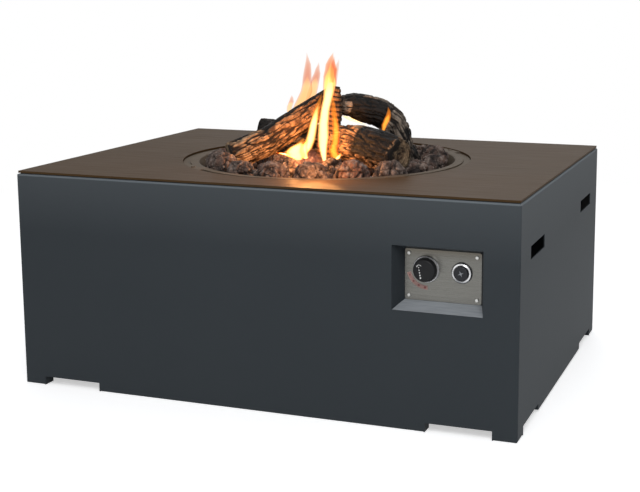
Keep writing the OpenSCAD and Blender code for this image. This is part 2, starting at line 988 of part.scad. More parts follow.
module gas_pipe() {
  color("#b9bcc0")
    run(rounded_route(pipe_points, pipe_bend_r, 6), pipe_r, 12);
}

module pipe_nuts() {
  color("#c9b063") {
    translate([0, 0, mixer_z - 26])
      difference() {
        cylinder(r = injector_r + 4.5, h = 18, $fn = 6);
        translate([0, 0, 9.9])
          cylinder(r = injector_r + thread_gap, h = 9);
        translate([0, 0, -1])
          cylinder(r = pipe_r + thread_gap, h = 20);
      }
    translate([knob_x - boss_reach - 8, boss_y, knob_z])
      rotate([0, 90, 0])
        difference() {
          cylinder(r = boss_r + 3.5, h = 16, $fn = 6);
          translate([0, 0, 8])
            cylinder(r = boss_r + thread_gap, h = 9);
          translate([0, 0, -1])
            cylinder(r = pipe_r + thread_gap, h = 20);
        }
  }
}

module heat_shield() {
  rim = 8;
  t = 1;
  color("#9a9c9e")
    difference() {
      translate([0, 0, shield_z])
        rotate_extrude($fn = 120)
          polygon([
            [stub_r + mixer_wall + 6, 0],
            [shield_r, 0],
            [shield_r, -rim],
            [shield_r + t, -rim],
            [shield_r + t, t],
            [stub_r + mixer_wall + 6, t],
          ]);
      at_lugs()
        translate([shield_r - 30, 0, shield_z - 1])
          cylinder(r = 2 + hole_gap, h = t + 2);
    }
}

module shield_posts() {
  t = 1;
  color("silver")
    at_lugs()
      translate([shield_r - 30, 0, 0]) {
        translate([0, 0, shield_z + t])
          cylinder(r = 5, h = floor_z - bowl_t - shield_z - t);
        translate([0, 0, shield_z - 3])
          cylinder(r = 2, h = 3 + t + eps);
        translate([0, 0, shield_z - 3])
          cylinder(r = 4.5, h = 3);
      }
}

// Thin strip on the bowl floor that locates the flame sensor and the electrode
module sensor_bracket() {
  middle = (thermo_angle + spark_angle) / 2;
  color("#a9abad")
    difference() {
      rotate([0, 0, middle])
        translate([sensor_r - 7, -24, floor_z])
          cube([14, 48, 2]);
      for (p = [thermo_p, spark_p])
        translate([p[0], p[1], floor_z - 1])
          cylinder(r = 4, h = 4);
    }
}

module sensor_nuts() {
  color("silver") {
    translate([thermo_p[0], thermo_p[1], floor_z - bowl_t - 5])
      nut_z(7, 3 + thread_gap, 5);
    translate([spark_p[0], spark_p[1], floor_z - bowl_t - 5])
      nut_z(7.5, 3.5 + thread_gap, 5);
  }
}

module thermocouple() {
  color("#b0764c")
    translate([thermo_p[0], thermo_p[1], 0]) {
      translate([0, 0, floor_z - 16])
        cylinder(r = 3, h = 38);
      translate([0, 0, floor_z + 2])
        cylinder(r = 5, h = 3);
      translate([0, 0, floor_z + 22])
        cylinder(r1 = 3, r2 = 1.5, h = 12);
    }
}

module thermocouple_lead() {
  color("#b0764c")
    run(rounded_route(thermo_lead_points, lead_bend_r, 5), lead_r, 8);
}

module spark_electrode() {
  color("white")
    translate([spark_p[0], spark_p[1], 0]) {
      translate([0, 0, floor_z - 24])
        cylinder(r = 3.5, h = 46);
      translate([0, 0, floor_z + 2])
        cylinder(r = 5, h = 3);
      translate([0, 0, floor_z + 21])
        cylinder(r = 1, h = 16);
    }
}

module ignition_lead() {
  color("#a33a2a")
    run(rounded_route(spark_lead_points, lead_bend_r, 5), lead_r, 8);
}

// Splayed block between two depths behind the front face
module splay(w0, h0, y0, w1, h1, y1) {
  hull() {
    translate([recess_x - w0 / 2, y0, recess_z - h0 / 2])
      cube([w0, eps, h0]);
    translate([recess_x - w1 / 2, y1 - eps, recess_z - h1 / 2])
      cube([w1, eps, h1]);
  }
}

// Places of the four corner screws of the control plate, or of the box's studs
module at_corners(w, h, y) {
  for (sx = [-1, 1], sz = [-1, 1])
    translate([recess_x + sx * w / 2, y, recess_z + sz * h / 2])
      rotate([-90, 0, 0])
        children();
}

module recess_box() {
  back_w = plate_w + 2 * plate_gap;
  back_h = plate_h + 2 * plate_gap;
  wall = 2 * box_t;
  color("#3d4347")
    difference() {
      union() {
        splay(recess_w + wall, recess_h + wall, panel_back_y, back_w + wall, back_h + wall, box_back_y);
        translate([recess_x - recess_w / 2 - box_flange, panel_back_y, recess_z - recess_h / 2 - box_flange])
          cube([recess_w + 2 * box_flange, box_t, recess_h + 2 * box_flange]);
      }
      splay(recess_w, recess_h, panel_back_y - eps, back_w, back_h, plate_back_y);
      translate([recess_x, box_back_y, recess_z])
        cube([plate_w - 2 * box_ledge, 20, plate_h - 2 * box_ledge], center = true);
      at_corners(recess_w + box_flange, recess_h + box_flange, panel_back_y - 1)
        cylinder(r = box_stud_r + hole_gap, h = box_t + 2);
      at_corners(plate_w - 2 * plate_screw_in, plate_h - 2 * plate_screw_in, plate_back_y - 1)
        cylinder(r = plate_screw_r + thread_gap, h = box_t + 2);
    }
}

module recess_box_nuts() {
  color("silver")
    at_corners(recess_w + box_flange, recess_h + box_flange, panel_back_y + box_t)
      nut_z(box_nut_r, box_stud_r + thread_gap, 3.2);
}

module control_plate() {
  color("#a9aaa4")
    difference() {
      translate([recess_x, plate_back_y, recess_z])
        rotate([90, 0, 0])
          linear_extrude(plate_t)
            rounded_rect(plate_w, plate_h, plate_corner_r);
      bar_y(neck_r + hole_gap, knob_x, knob_z, plate_y - 1, plate_back_y + 1);
      bar_y(housing_r + hole_gap, igniter_x, igniter_z, plate_y - 1, plate_back_y + 1);
      at_corners(plate_w - 2 * plate_screw_in, plate_h - 2 * plate_screw_in, plate_y - 1)
        cylinder(r = plate_screw_r + hole_gap, h = plate_t + 2);
    }
}

module plate_screws() {
  color("#c9cac6")
    at_corners(plate_w - 2 * plate_screw_in, plate_h - 2 * plate_screw_in, plate_y) {
      translate([0, 0, -2.2])
        cylinder(r1 = 3, r2 = 3.8, h = 2.2);
      translate([0, 0, -eps])
        cylinder(r = plate_screw_r, h = plate_t + box_t + 4);
    }
}

// Dished ring around the base of the knob
module knob_bezel() {
  inner = bezel_r - bezel_wall;
  color("#d5d7d8")
    turned_y(knob_x, knob_z, plate_y)
      polygon([
        [neck_r + hole_gap, 0],
        [bezel_r, 0],
        [bezel_r, bezel_h - 2],
        [bezel_r - 0.6, bezel_h - 0.5],
        [bezel_r - 1.1, bezel_h],
        [inner, bezel_h - 0.3],
        [inner, bezel_base],
        [neck_r + hole_gap, bezel_base],
      ]);
}

module neck_nut() {
  color("silver")
    nut_y(neck_nut_r, neck_r + thread_gap, neck_nut_t, knob_x, knob_z,
      plate_y - bezel_base - neck_nut_t);
}

module valve_bonnet() {
  color("#b9a25c")
    difference() {
      union() {
        bar_y(neck_r, knob_x, knob_z, plate_y - neck_end, plate_back_y + 1);
        bar_y(bonnet_r, knob_x, knob_z, plate_back_y, plate_back_y + bonnet_t);
      }
      bar_y(spindle_r + run_gap, knob_x, knob_z, plate_y - neck_end - 1, plate_back_y + bonnet_t + 1);
    }
}

module valve_body() {
  back = plate_back_y + bonnet_t;
  slope = plug_taper / plug_l;
  plug_mouth = plug_r + run_gap + slope * plug_gap_end;
  plug_floor = plug_r + run_gap - slope * (plug_l + plug_gap_end);
  color("#b9a25c")
    difference() {
      union() {
        bar_y(barrel_r, knob_x, knob_z, back, barrel_end_y);
        translate([knob_x, boss_y, knob_z])
          rotate([0, -90, 0])
            cylinder(r = boss_r, h = boss_reach);
        translate([knob_x, boss_y, knob_z - barrel_r - 14])
          cylinder(r = boss_r + 2, h = barrel_r + 14);
      }
      cone_y(plug_mouth, plug_floor, knob_x, knob_z, back, plug_end_y + plug_gap_end);
      translate([knob_x, back - eps, knob_z])
        rotate([-90, 0, 0])
          cylinder(r = plug_mouth, h = 2 * eps);
      translate([knob_x - plug_r / 2, boss_y, knob_z])
        rotate([0, -90, 0])
          cylinder(r = port_bore_r, h = boss_reach);
      translate([knob_x, boss_y, knob_z - barrel_r - 15])
        cylinder(r = 4, h = barrel_r + 15 - plug_r / 2);
    }
}

// Spindle's cross-section, round with one flat
module flatted(r, flat) {
  intersection() {
    circle(r);
    translate([flat - 2 * r, -r])
      square([2 * r, 2 * r]);
  }
}

// Tapered plug: its wide ports meet the inlet and outlet after a quarter turn, its fine one after a half
module gas_plug() {
  color("#cdb56c")
    difference() {
      cone_y(plug_r, plug_r - plug_taper, knob_x, knob_z, plug_start_y, plug_end_y);
      translate([knob_x, spring_seat_y, knob_z])
        rotate([90, 0, 0])
          linear_extrude(plug_l)
            flatted(spindle_r + run_gap, spindle_flat + run_gap);
      translate([knob_x, boss_y, knob_z]) {
        cylinder(r = port_bore_r, h = plug_r + 1);
        rotate([0, -90, 0])
          cylinder(r = port_bore_r, h = plug_r + 1);
        rotate([0, 90, 0])
          cylinder(r = 0.8, h = plug_r + 1);
      }
    }
}

module valve_spindle() {
  color("#c9c9c9") {
    bar_y(spindle_r, knob_x, knob_z, plate_y - knob_proud + 4, spindle_shoulder_y);
    translate([knob_x, spindle_end_y, knob_z])
      rotate([90, 0, 0])
        linear_extrude(spindle_end_y - spindle_shoulder_y + 0.5)
          flatted(spindle_r, spindle_flat);
  }
}

module spindle_spring() {
  color("#9a9c9e")
    translate([knob_x, spindle_end_y, knob_z])
      rotate([-90, 0, 0])
        coil(2.4, 0.35, spring_seat_y - spindle_end_y, 6);
}

module magnet_unit() {
  color("#8f9496")
    bar_y(magnet_r, knob_x, knob_z, barrel_end_y, magnet_end_y);
}

module lead_nut() {
  color("#c9b063")
    nut_y(6.5, lead_r + thread_gap, 9, knob_x, knob_z, magnet_end_y);
}

// Union nut with the spigot that the gas hose screws onto
module gas_inlet() {
  boss_z = knob_z - barrel_r - 14;
  color("#c9b063")
    translate([knob_x, boss_y, boss_z - 12])
      difference() {
        union() {
          cylinder(r = boss_r + 5.5, h = 20, $fn = 6);
          translate([0, 0, -inlet_l])
            cylinder(r = inlet_r, h = inlet_l + 1);
        }
        translate([0, 0, 12])
          cylinder(r = boss_r + 2 + thread_gap, h = 9);
        translate([0, 0, -inlet_l - 1])
          cylinder(r = 3, h = inlet_l + 20);
      }
}

// Half section of the knob as radius and distance in front of the plate
function knob_section() = [
  [knob_cavity_r, knob_back],
  [knob_r, knob_back],
  [knob_r, knob_back + 3],
  [knob_face_r + 0.3, knob_proud - 3.5],
  [knob_face_r - 0.6, knob_proud - 1.2],
  [knob_face_r - 2.2, knob_proud],
  [0, knob_proud],
  [0, knob_hub_back],
  [knob_hub_r, knob_hub_back],
  [knob_hub_r, knob_proud - knob_roof],
  [knob_cavity_r, knob_proud - knob_roof],
];

// Turned knob with finger flutes around its grip and a shallow dished face
module control_knob() {
  flutes = 24;
  color("#151617")
    difference() {
      turned_y(knob_x, knob_z, plate_y)
        polygon(knob_section());
      bar_y(spindle_r + run_gap / 2, knob_x, knob_z, plate_y - knob_proud + 4, plate_y);
      for (i = [0:flutes - 1])
        translate([knob_x, 0, knob_z])
          rotate([0, 360 * i / flutes, 0])
            bar_y(1.1, knob_r + 0.35, 0, plate_y - knob_proud - 1, plate_y - knob_back - 5);
      bar_y(knob_face_r - 4, knob_x, knob_z, plate_y - knob_proud - 1, plate_y - knob_proud + 0.6);
    }
}

module igniter_bezel() {
  r = igniter_bezel_r;
  inner = button_r + 0.5;
  h = 6;
  color("#d5d7d8")
    turned_y(igniter_x, igniter_z, plate_y)
      polygon([
        [housing_r + thread_gap, 0],
        [r, 0],
        [r, 1.5],
        [r - 0.8, 3.2],
        [r - 2.4, 4.8],
        [inner + 0.8, h],
        [inner, h - 0.4],
        [inner, housing_front],
        [housing_r + thread_gap, housing_front],
      ]);
}

module igniter_housing() {
  bore = plunger_r + 0.08;
  color("#1b1c1e")
    difference() {
      bar_y(housing_r, igniter_x, igniter_z, plate_y - housing_front, housing_end_y);
      bar_y(bore, igniter_x, igniter_z, plate_y - housing_front - 1, battery_y - 1);
      bar_y(battery_r + 0.2, igniter_x, igniter_z, plate_y, battery_y + battery_l + 0.2);
    }
}

module igniter_nut() {
  color("#1b1c1e")
    nut_y(housing_r + 5.5, housing_r + thread_gap, 6, igniter_x, igniter_z, plate_back_y);
}

module igniter_button() {
  dish = 60;
  color("#202124")
    difference() {
      union() {
        turned_y(igniter_x, igniter_z, plate_y)
          polygon([
            [0, button_back],
            [button_r, button_back],
            [button_r, button_proud - 2],
            [button_r - 0.7, button_proud - 0.6],
            [button_r - 2, button_proud],
            [0, button_proud],
          ]);
        bar_y(plunger_r, igniter_x, igniter_z, plate_y - button_back - eps, plunger_end_y);
      }
      translate([igniter_x, plate_y - button_proud - dish + 1.2, igniter_z])
        sphere(dish, $fn = 96);
      bar_y(plunger_r - 2, igniter_x, igniter_z, plunger_end_y - 4, plunger_end_y + 1);
    }
}

module igniter_spring() {
  color("#9a9c9e")
    translate([igniter_x, plunger_end_y - 4, igniter_z])
      rotate([-90, 0, 0])
        coil(6, 0.45, igniter_spring_l + 4, 6);
}

module igniter_battery() {
  color("#6f8f3c")
    bar_y(battery_r, igniter_x, igniter_z, battery_y, battery_y + battery_l);
}

module pulse_unit() {
  w = 34;
  h = 30;
  color("#2b2c2f")
    translate([igniter_x, housing_end_y + pulse_l, igniter_z])
      rotate([90, 0, 0])
        linear_extrude(pulse_l)
          rounded_rect(w, h, 4);
}

// One lumpy stone on a flat bed, within a cell of a ring: half its depth and half its angle.
// It leans outwards by the given length over the height of the bowl's wall.
module stone(at_r, half_depth, half_angle, h, lean, seed) {
  sides = 9;
  levels = [[0, 0.9], [0.15, 1], [0.5, 1], [0.75, 0.88], [0.93, 0.6], [1, 0.25]];
  wall_h = rim_z - 6 - floor_z;
  jitter = rands(0.86, 1, sides * len(levels), seed);
  loft([
    for (k = [0:len(levels) - 1]) [
      for (j = [0:sides - 1])
        let (
          wobble = jitter[k * sides + j],
          a = 360 * (j + 0.3 * (k % 2)) / sides + 25 * wobble,
          fill = pow(pow(abs(cos(a)), 3) + pow(abs(sin(a)), 3), -1 / 3),
          reach = levels[k][1] * wobble * fill,
          up = h * levels[k][0] * (0.8 + 0.2 * wobble),
          out = at_r + half_depth * reach * cos(a) + lean * min(1, up / wall_h),
          turn = half_angle * reach * sin(a)
        )
        [out * cos(turn), out * sin(turn), up]
    ]
  ]);
}

// Stones side by side around the bowl floor, at the given angles
module stone_ring(at_r, half_depth, half_angle, angles, top, lean, seed) {
  heights = rands(0.78, 1, len(angles), seed);
  for (i = [0:len(angles) - 1])
    rotate([0, 0, angles[i]])
      translate([0, 0, floor_z])
        stone(at_r, half_depth, half_angle, top * heights[i], lean, seed + 10 + i);
}

module lava_stones_outer() {
  count = floor(2 * PI * outer_ring_r / (2 * stone_r + stone_gap));
  step = 360 / count;
  gap_angle = asin(stone_gap / (outer_ring_r - stone_r)) / 2;
  color("#5a4640")
    difference() {
      stone_ring(
        outer_ring_r, stone_r, step / 2 - gap_angle,
        [for (i = [0:count - 1]) step * i + 4], stone_h, bowl_draft - 2, 300
      );
      all_logs(log_gap);
    }
}

module lava_stones_inner() {
  inner_depth = inner_limit - inner_ring_r;
  inner_edge = inner_ring_r - inner_depth;
  core_depth = inner_edge - stone_gap - core_ring_r;
  arm_angle = asin(arm_clear / inner_edge);
  share = (90 - 2 * arm_angle) / 4;
  core_share = 45 - asin(arm_clear / (core_ring_r - core_depth));
  color("#4c3d39")
    difference() {
      union() {
        stone_ring(
          inner_ring_r, inner_depth, share - 0.3,
          [for (q = [45:90:315], s = [-1, 1]) q + s * share], stone_h * 0.9, 0, 500
        );
        stone_ring(core_ring_r, core_depth, core_share, [for (q = [45:90:315]) q], stone_h * 0.75, 0, 600);
      }
      all_logs(log_gap);
    }
}

// Value of a list of numbers or points at a fraction between its entries
function between(list, t) =
  let (i = min(floor(t), len(list) - 2), f = t - i)
  list[i] * (1 - f) + list[i + 1] * f;

// Log through the joints of its axis, its girth lobed like split wood
module log_form(axis, radii, seed, grow) {
  steps = (len(axis) - 1) * log_steps;
  joints = [for (p = axis) [p[0], p[1], p[2] + floor_z]];
  path = [for (i = [0:steps]) between(joints, i / log_steps)];
  rings = [
    for (i = [0:steps])
      let (
        along = direction(path, i),
        r = between(radii, i / log_steps) + grow,
        side = unit(cross(along, [0.31, 0.52, 0.796])),
        up = cross(along, side),
        stretch = (i == 0 ? -grow : i == steps ? grow : 0)
      )
      [
        for (j = [0:log_sides - 1])
          let (
            a = 360 * j / log_sides,
            lobe = 0.94 + 0.05 * sin(2 * a + 70 * seed + 9 * i) + 0.035 * sin(3 * a + 131 * seed)
              + 0.025 * sin(5 * a + 53 * seed + 25 * i)
          )
          path[i] + along * stretch + r * lobe * (cos(a) * side + sin(a) * up)
      ]
  ];
  loft(rings);
}

module long_log_form(grow) {
  log_form(long_log, long_log_rs, 1, grow);
}

module right_log_form(grow) {
  log_form(right_log, right_log_rs, 2, grow);
}

module bent_log_form(grow) {
  log_form(bent_log, bent_log_rs, 3, grow);
}

module back_log_form(grow) {
  log_form(back_log, back_log_rs, 4, grow);
}

module upright_log_form(grow) {
  log_form(upright_log, upright_log_rs, 5, grow);
}

// Every log, grown by a gap, to bed other pieces under
module all_logs(grow) {
  long_log_form(grow);
  right_log_form(grow);
  bent_log_form(grow);
  back_log_form(grow);
  upright_log_form(grow);
}

module log_long() {
  color("#8a6a48")
    difference() {
      long_log_form(0);
      upright_log_form(log_gap);
    }
}

module log_right() {
  color("#7d5a3c")
    right_log_form(0);
}

module log_bent() {
  color("#3a322c")
    difference() {
      bent_log_form(0);
      upright_log_form(log_gap);
      long_log_form(log_gap);
    }
}

module log_back() {
  color("#4a3d33")
    back_log_form(0);
}

module log_upright() {
  color("#8a6a48")
    upright_log_form(0);
}

front_panel();
rear_panel();
left_side_panel();
right_side_panel();
corner_angles();
panel_nuts();
table_top();
top_seal();
top_stiffeners();
top_nuts();
burner_hangers();
burner_bowl();
bowl_screws();
bowl_nuts();
burner_ring();
burner_locknut();
air_mixer();
injector();
gas_pipe();
pipe_nuts();
heat_shield();
shield_posts();
sensor_bracket();
sensor_nuts();
thermocouple();
thermocouple_lead();
spark_electrode();
ignition_lead();
recess_box();
recess_box_nuts();
control_plate();
plate_screws();
knob_bezel();
neck_nut();
valve_bonnet();
valve_body();
gas_plug();
valve_spindle();
spindle_spring();
magnet_unit();
lead_nut();
gas_inlet();
control_knob();
igniter_bezel();
igniter_housing();
igniter_nut();
igniter_button();
igniter_spring();
igniter_battery();
pulse_unit();
lava_stones_outer();
lava_stones_inner();
log_long();
log_right();
log_bent();
log_back();
log_upright();
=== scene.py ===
"""Looks of a gas fire pit table: finishes, weathered stones and logs, dial marks, flames and a plain studio."""

import json
import logging
import math
import random
from dataclasses import dataclass
from enum import Enum
from typing import Any, Iterable, NamedTuple, Sequence

import bmesh
import bpy
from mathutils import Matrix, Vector, noise

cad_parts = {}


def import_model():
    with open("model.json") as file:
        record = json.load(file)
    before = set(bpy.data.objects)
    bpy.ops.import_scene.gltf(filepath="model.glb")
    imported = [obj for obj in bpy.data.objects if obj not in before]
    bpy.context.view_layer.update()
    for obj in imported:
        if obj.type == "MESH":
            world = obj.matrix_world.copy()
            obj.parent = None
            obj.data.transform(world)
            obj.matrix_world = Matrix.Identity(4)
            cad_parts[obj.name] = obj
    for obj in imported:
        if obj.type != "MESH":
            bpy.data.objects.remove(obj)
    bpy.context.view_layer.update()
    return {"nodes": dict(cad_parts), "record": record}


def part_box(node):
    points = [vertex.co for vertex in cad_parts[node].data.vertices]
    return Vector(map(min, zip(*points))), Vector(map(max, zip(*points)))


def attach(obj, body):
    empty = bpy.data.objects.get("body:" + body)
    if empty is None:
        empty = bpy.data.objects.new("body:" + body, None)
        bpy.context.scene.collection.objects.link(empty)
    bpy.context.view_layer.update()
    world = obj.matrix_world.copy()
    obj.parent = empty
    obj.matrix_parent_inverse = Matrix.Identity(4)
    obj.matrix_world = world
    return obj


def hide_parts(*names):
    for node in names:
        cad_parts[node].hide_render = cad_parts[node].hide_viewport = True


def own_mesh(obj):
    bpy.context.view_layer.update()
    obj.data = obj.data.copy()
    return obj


LOG = logging.getLogger("fire_table")
MM = 0.001
WELD = 0.02 * MM

Colour = tuple[float, float, float]
Point = tuple[float, float, float]
Pair = tuple[float, float]
Mesh = bmesh.types.BMesh
Material = bpy.types.Material
Piece = bpy.types.Object
Socket = bpy.types.NodeSocket

UP: Point = (0.0, 0.0, 1.0)
EVEN: Point = (1.0, 1.0, 1.0)
WHITE: Colour = (1.0, 1.0, 1.0)


class Surface(Enum):
    """Kinds of procedural surface."""

    GRAIN = "even fine grain"
    RING = "plastic with a bright foot ring"
    STONE = "porous volcanic stone"
    BARK = "painted ceramic bark"


class Axis(Enum):
    """Axes of the shared frame along which a look changes."""

    DEPTH = "Y"
    HEIGHT = "Z"


@dataclass(frozen=True)
class Drift:
    """Painted light or painted shade that comes in over a stretch of height.

    Attributes:
        span: Heights where it starts and where it is full, in metres.
        share: Its share where it is full.
        colour: The colour, linear.
    """

    span: Pair
    share: float
    colour: Colour


@dataclass(frozen=True)
class Fleck:
    """Blotches of one colour that noise lays over another.

    Attributes:
        scale: Blotches to the metre.
        detail: How ragged their edges are.
        span: Noise where a blotch starts and where it is full.
        colour: The colour, linear.
        share: Its share where it is full.
    """

    scale: float
    detail: float
    span: Pair
    colour: Colour
    share: float = 1.0


@dataclass(frozen=True)
class Finish:
    """Look of one material slot.

    Attributes:
        base: Main colour, linear.
        shade: Colour of the darker or worn patches, linear; on the logs, the colour of the painted shade in the
            bark's grooves.
        roughness: Middle roughness.
        metallic: How metallic the surface is.
        surface: Kind of surface.
        grain: Grains to the metre.
        stretch: Scale of the grain along each axis.
        relief: Strength of the grain's bump.
        patch: Patches to the metre.
        blend: Share of the shade colour in the patches.
        coat: Weight of a clear coat.
        sheen: Specular level, 0.5 for an ordinary gloss.
        top_light: Colour of the painted light on faces that look up, or nothing.
        drifts: Painted light and painted shade that come in with the height.
    """

    base: Colour
    shade: Colour
    roughness: float
    metallic: float = 0.0
    surface: Surface = Surface.GRAIN
    grain: float = 900.0
    stretch: Point = EVEN
    relief: float = 0.1
    patch: float = 6.0
    blend: float = 0.4
    coat: float = 0.0
    sheen: float = 0.5
    top_light: Colour | None = None
    drifts: Sequence[Drift] = ()


STREAK_X: Point = (0.02, 1.0, 1.0)
BRUSHED_X: Point = (0.012, 1.0, 1.0)
TOP_LIGHT_STREAK_X: Point = (0.1, 1.0, 1.0)

# Painted light on the body paint, paler upward, and a painted highlight along its upper fold; painted shade on the
# plate's upper edge under the recess roof.
PAINTED_UPPER_LIGHT = Drift((0.33, 0.44), 0.45, (0.085, 0.095, 0.102))
PAINTED_FOLD_HIGHLIGHT = Drift((0.4418, 0.4438), 0.8, (0.15, 0.17, 0.185))
PAINTED_PLATE_SHADE = Drift((0.325, 0.346), 0.6, (0.085, 0.066, 0.042))

FINISHES: dict[str, Finish] = {
    "body_paint": Finish(
        (0.039, 0.0455, 0.0505),
        (0.033, 0.039, 0.044),
        0.55,
        relief=0.12,
        patch=3.0,
        sheen=0.06,
        drifts=(PAINTED_UPPER_LIGHT, PAINTED_FOLD_HIGHLIGHT),
    ),
    # Recess paint: a little darker than the body paint, with painted light on the faces that look up.
    "recess_paint_lit_ledge": Finish(
        (0.035, 0.041, 0.046), (0.029, 0.034, 0.039), 0.5, relief=0.12, patch=3.0, sheen=0.06, top_light=(0.31, 0.33, 0.35)
    ),
    "top_paint": Finish(
        (0.064, 0.038, 0.018), (0.05, 0.03, 0.014), 0.45, grain=420.0, stretch=STREAK_X, relief=0.06, sheen=0.014
    ),
    "bowl_paint": Finish((0.115, 0.09, 0.064), (0.066, 0.05, 0.036), 0.6, relief=0.15, patch=18.0, sheen=0.03),
    "inner_steel": Finish((0.03, 0.03, 0.032), (0.022, 0.022, 0.023), 0.6, relief=0.1),
    "zinc_steel": Finish((0.6, 0.6, 0.58), (0.42, 0.42, 0.41), 0.38, metallic=1.0, patch=40.0),
    "burner_steel": Finish((0.45, 0.41, 0.36), (0.2, 0.14, 0.13), 0.4, metallic=1.0, patch=9.0, blend=0.8),
    "brushed_plate": Finish(
        (0.17, 0.168, 0.155),
        (0.125, 0.122, 0.112),
        0.28,
        metallic=1.0,
        grain=700.0,
        stretch=BRUSHED_X,
        relief=0.12,
        drifts=(PAINTED_PLATE_SHADE,),
    ),
    "shield_sheet": Finish(
        (0.6, 0.61, 0.62), (0.46, 0.46, 0.47), 0.42, metallic=1.0, grain=300.0, stretch=STREAK_X, relief=0.08
    ),
    "aluminium_tube": Finish((0.65, 0.66, 0.67), (0.5, 0.5, 0.51), 0.35, metallic=1.0),
    "brass": Finish((0.66, 0.49, 0.2), (0.45, 0.32, 0.14), 0.32, metallic=1.0, patch=30.0),
    "copper": Finish((0.6, 0.3, 0.16), (0.36, 0.18, 0.11), 0.35, metallic=1.0, patch=30.0),
    "chrome": Finish((0.62, 0.62, 0.63), (0.5, 0.5, 0.51), 0.2, metallic=1.0, relief=0.02),
    "knob_plastic": Finish(
        (0.008, 0.008, 0.009), (0.013, 0.013, 0.014), 0.45, surface=Surface.RING, relief=0.06, patch=60.0, sheen=0.18
    ),
    "button_plastic": Finish((0.011, 0.012, 0.015), (0.02, 0.02, 0.024), 0.32, relief=0.04, patch=60.0, sheen=0.25),
    "battery_jacket": Finish((0.1, 0.2, 0.06), (0.07, 0.14, 0.045), 0.35, patch=40.0, coat=0.3),
    "lead_sleeve": Finish((0.3, 0.05, 0.03), (0.2, 0.035, 0.022), 0.55, relief=0.2),
    "seal_rubber": Finish((0.01, 0.01, 0.011), (0.018, 0.018, 0.018), 0.75, relief=0.2),
    "ceramic": Finish((0.82, 0.8, 0.74), (0.66, 0.62, 0.55), 0.25, patch=60.0, blend=0.3, coat=0.4),
    "lava_stone": Finish((0.12, 0.088, 0.074), (0.035, 0.027, 0.025), 0.85, surface=Surface.STONE, sheen=0.2),
    "ceramic_log": Finish((0.3, 0.17, 0.085), (0.02, 0.013, 0.01), 0.82, surface=Surface.BARK, sheen=0.2),
}

# Nodes that look different from the rest of their slot: the recess, with painted light on its ledge.
OWN_FINISH: dict[str, str] = {"recess_box": "recess_paint_lit_ledge"}

# Noise that counts as none and as full where a change is soft.
SOFT: Pair = (0.3, 0.7)

# Bright ring at the foot of the knob: how far in front of the bezel its colour starts and is full.
RING_SPAN: Pair = (3.4 * MM, 3.2 * MM)
RING_METAL: Colour = (0.88, 0.88, 0.89)

# Lava stones: red where they are new, dusty, and black with painted shade in the hollows.
STONE_RED: Colour = (0.23, 0.09, 0.05)
STONE_HOLLOW_SHADE: Colour = (0.008, 0.007, 0.007)
STONE_DUST = Fleck(95.0, 6.0, (0.46, 0.66), (0.29, 0.232, 0.2))

# Ceramic logs: tan bark that turns orange with painted firelight, ash and char, each with painted shade in the
# grooves.
BARK_TAN: Colour = (0.4, 0.285, 0.175)
BARK_FIRELIGHT_ORANGE: Colour = (0.28, 0.12, 0.042)
BARK_MOTTLE = Fleck(60.0, 6.0, (0.4, 0.64), (0.075, 0.04, 0.022))
BARK_PALE = Fleck(150.0, 4.0, (0.58, 0.75), (0.42, 0.3, 0.19), 0.7)
ASH_FACE: Colour = (0.3, 0.245, 0.195)
ASH_PATCH = Fleck(55.0, 6.0, (0.4, 0.62), (0.075, 0.058, 0.046))
ASH_GROOVE_SHADE: Colour = (0.012, 0.01, 0.009)
CHAR_FACE: Colour = (0.0085, 0.0065, 0.0055)
CHAR_GROOVE_SHADE: Colour = (0.002, 0.002, 0.002)
CHAR_ROUGHNESS = 0.68

# Sockets of the node that mixes two colours.
MIX_SHARE, MIX_FIRST, MIX_SECOND, MIX_RESULT = 0, 6, 7, 2


class Tree:
    """Node tree with short ways to add nodes and to link them."""

    def __init__(self, tree: bpy.types.NodeTree) -> None:
        """Takes up a node tree of the scene."""
        self.tree = tree

    def feed(self, socket: Socket, value: Any) -> None:
        """Links an input to an output, or sets its value.

        Args:
            socket: The input.
            value: An output, a colour, a vector or a number.
        """
        if isinstance(value, bpy.types.NodeSocket):
            self.tree.links.new(value, socket)
        elif isinstance(value, tuple) and len(value) == 3 and len(socket.default_value) == 4:
            socket.default_value = (*value, 1.0)
        else:
            socket.default_value = value

    def node(self, kind: str, inputs: dict[str | int, Any] | None = None, **fields: Any) -> bpy.types.Node:
        """Adds a node.

        Args:
            kind: Blender's name for its kind.
            inputs: What feeds its inputs, by their names or numbers.
            **fields: Its other settings.

        Returns:
            The node.
        """
        item = self.tree.nodes.new(kind)
        for key, value in fields.items():
            setattr(item, key, value)
        for key, value in (inputs or {}).items():
            self.feed(item.inputs[key], value)
        return item

    def math(self, work: str, first: Any, second: Any) -> Socket:
        """Joins two values by one operation."""
        return self.node("ShaderNodeMath", {0: first, 1: second}, operation=work).outputs[0]

    def blend(self, share: Socket, first: bpy.types.Node, second: bpy.types.Node) -> Socket:
        """Mixes what two shader nodes give."""
        return self.node("ShaderNodeMixShader", {0: share, 1: first.outputs[0], 2: second.outputs[0]}).outputs[0]

    def add(self, first: bpy.types.Node, second: bpy.types.Node) -> bpy.types.Node:
        """Adds what two shader nodes give."""
        return self.node("ShaderNodeAddShader", {0: first.outputs[0], 1: second.outputs[0]})

    def end(self, output: str, socket: str, value: Socket) -> None:
        """Feeds a socket of the tree's output node."""
        self.feed(self.tree.nodes[output].inputs[socket], value)

    def seen(self) -> Socket:
        """Tells what is seen.

        Returns:
            1 for rays from the camera and for those that a mirror or glass sends on, else 0.
        """
        path = self.node("ShaderNodeLightPath")
        total = path.outputs["Is Camera Ray"]
        for kind in ("Is Glossy Ray", "Is Transmission Ray"):
            total = self.math("MAXIMUM", total, path.outputs[kind])
        return total


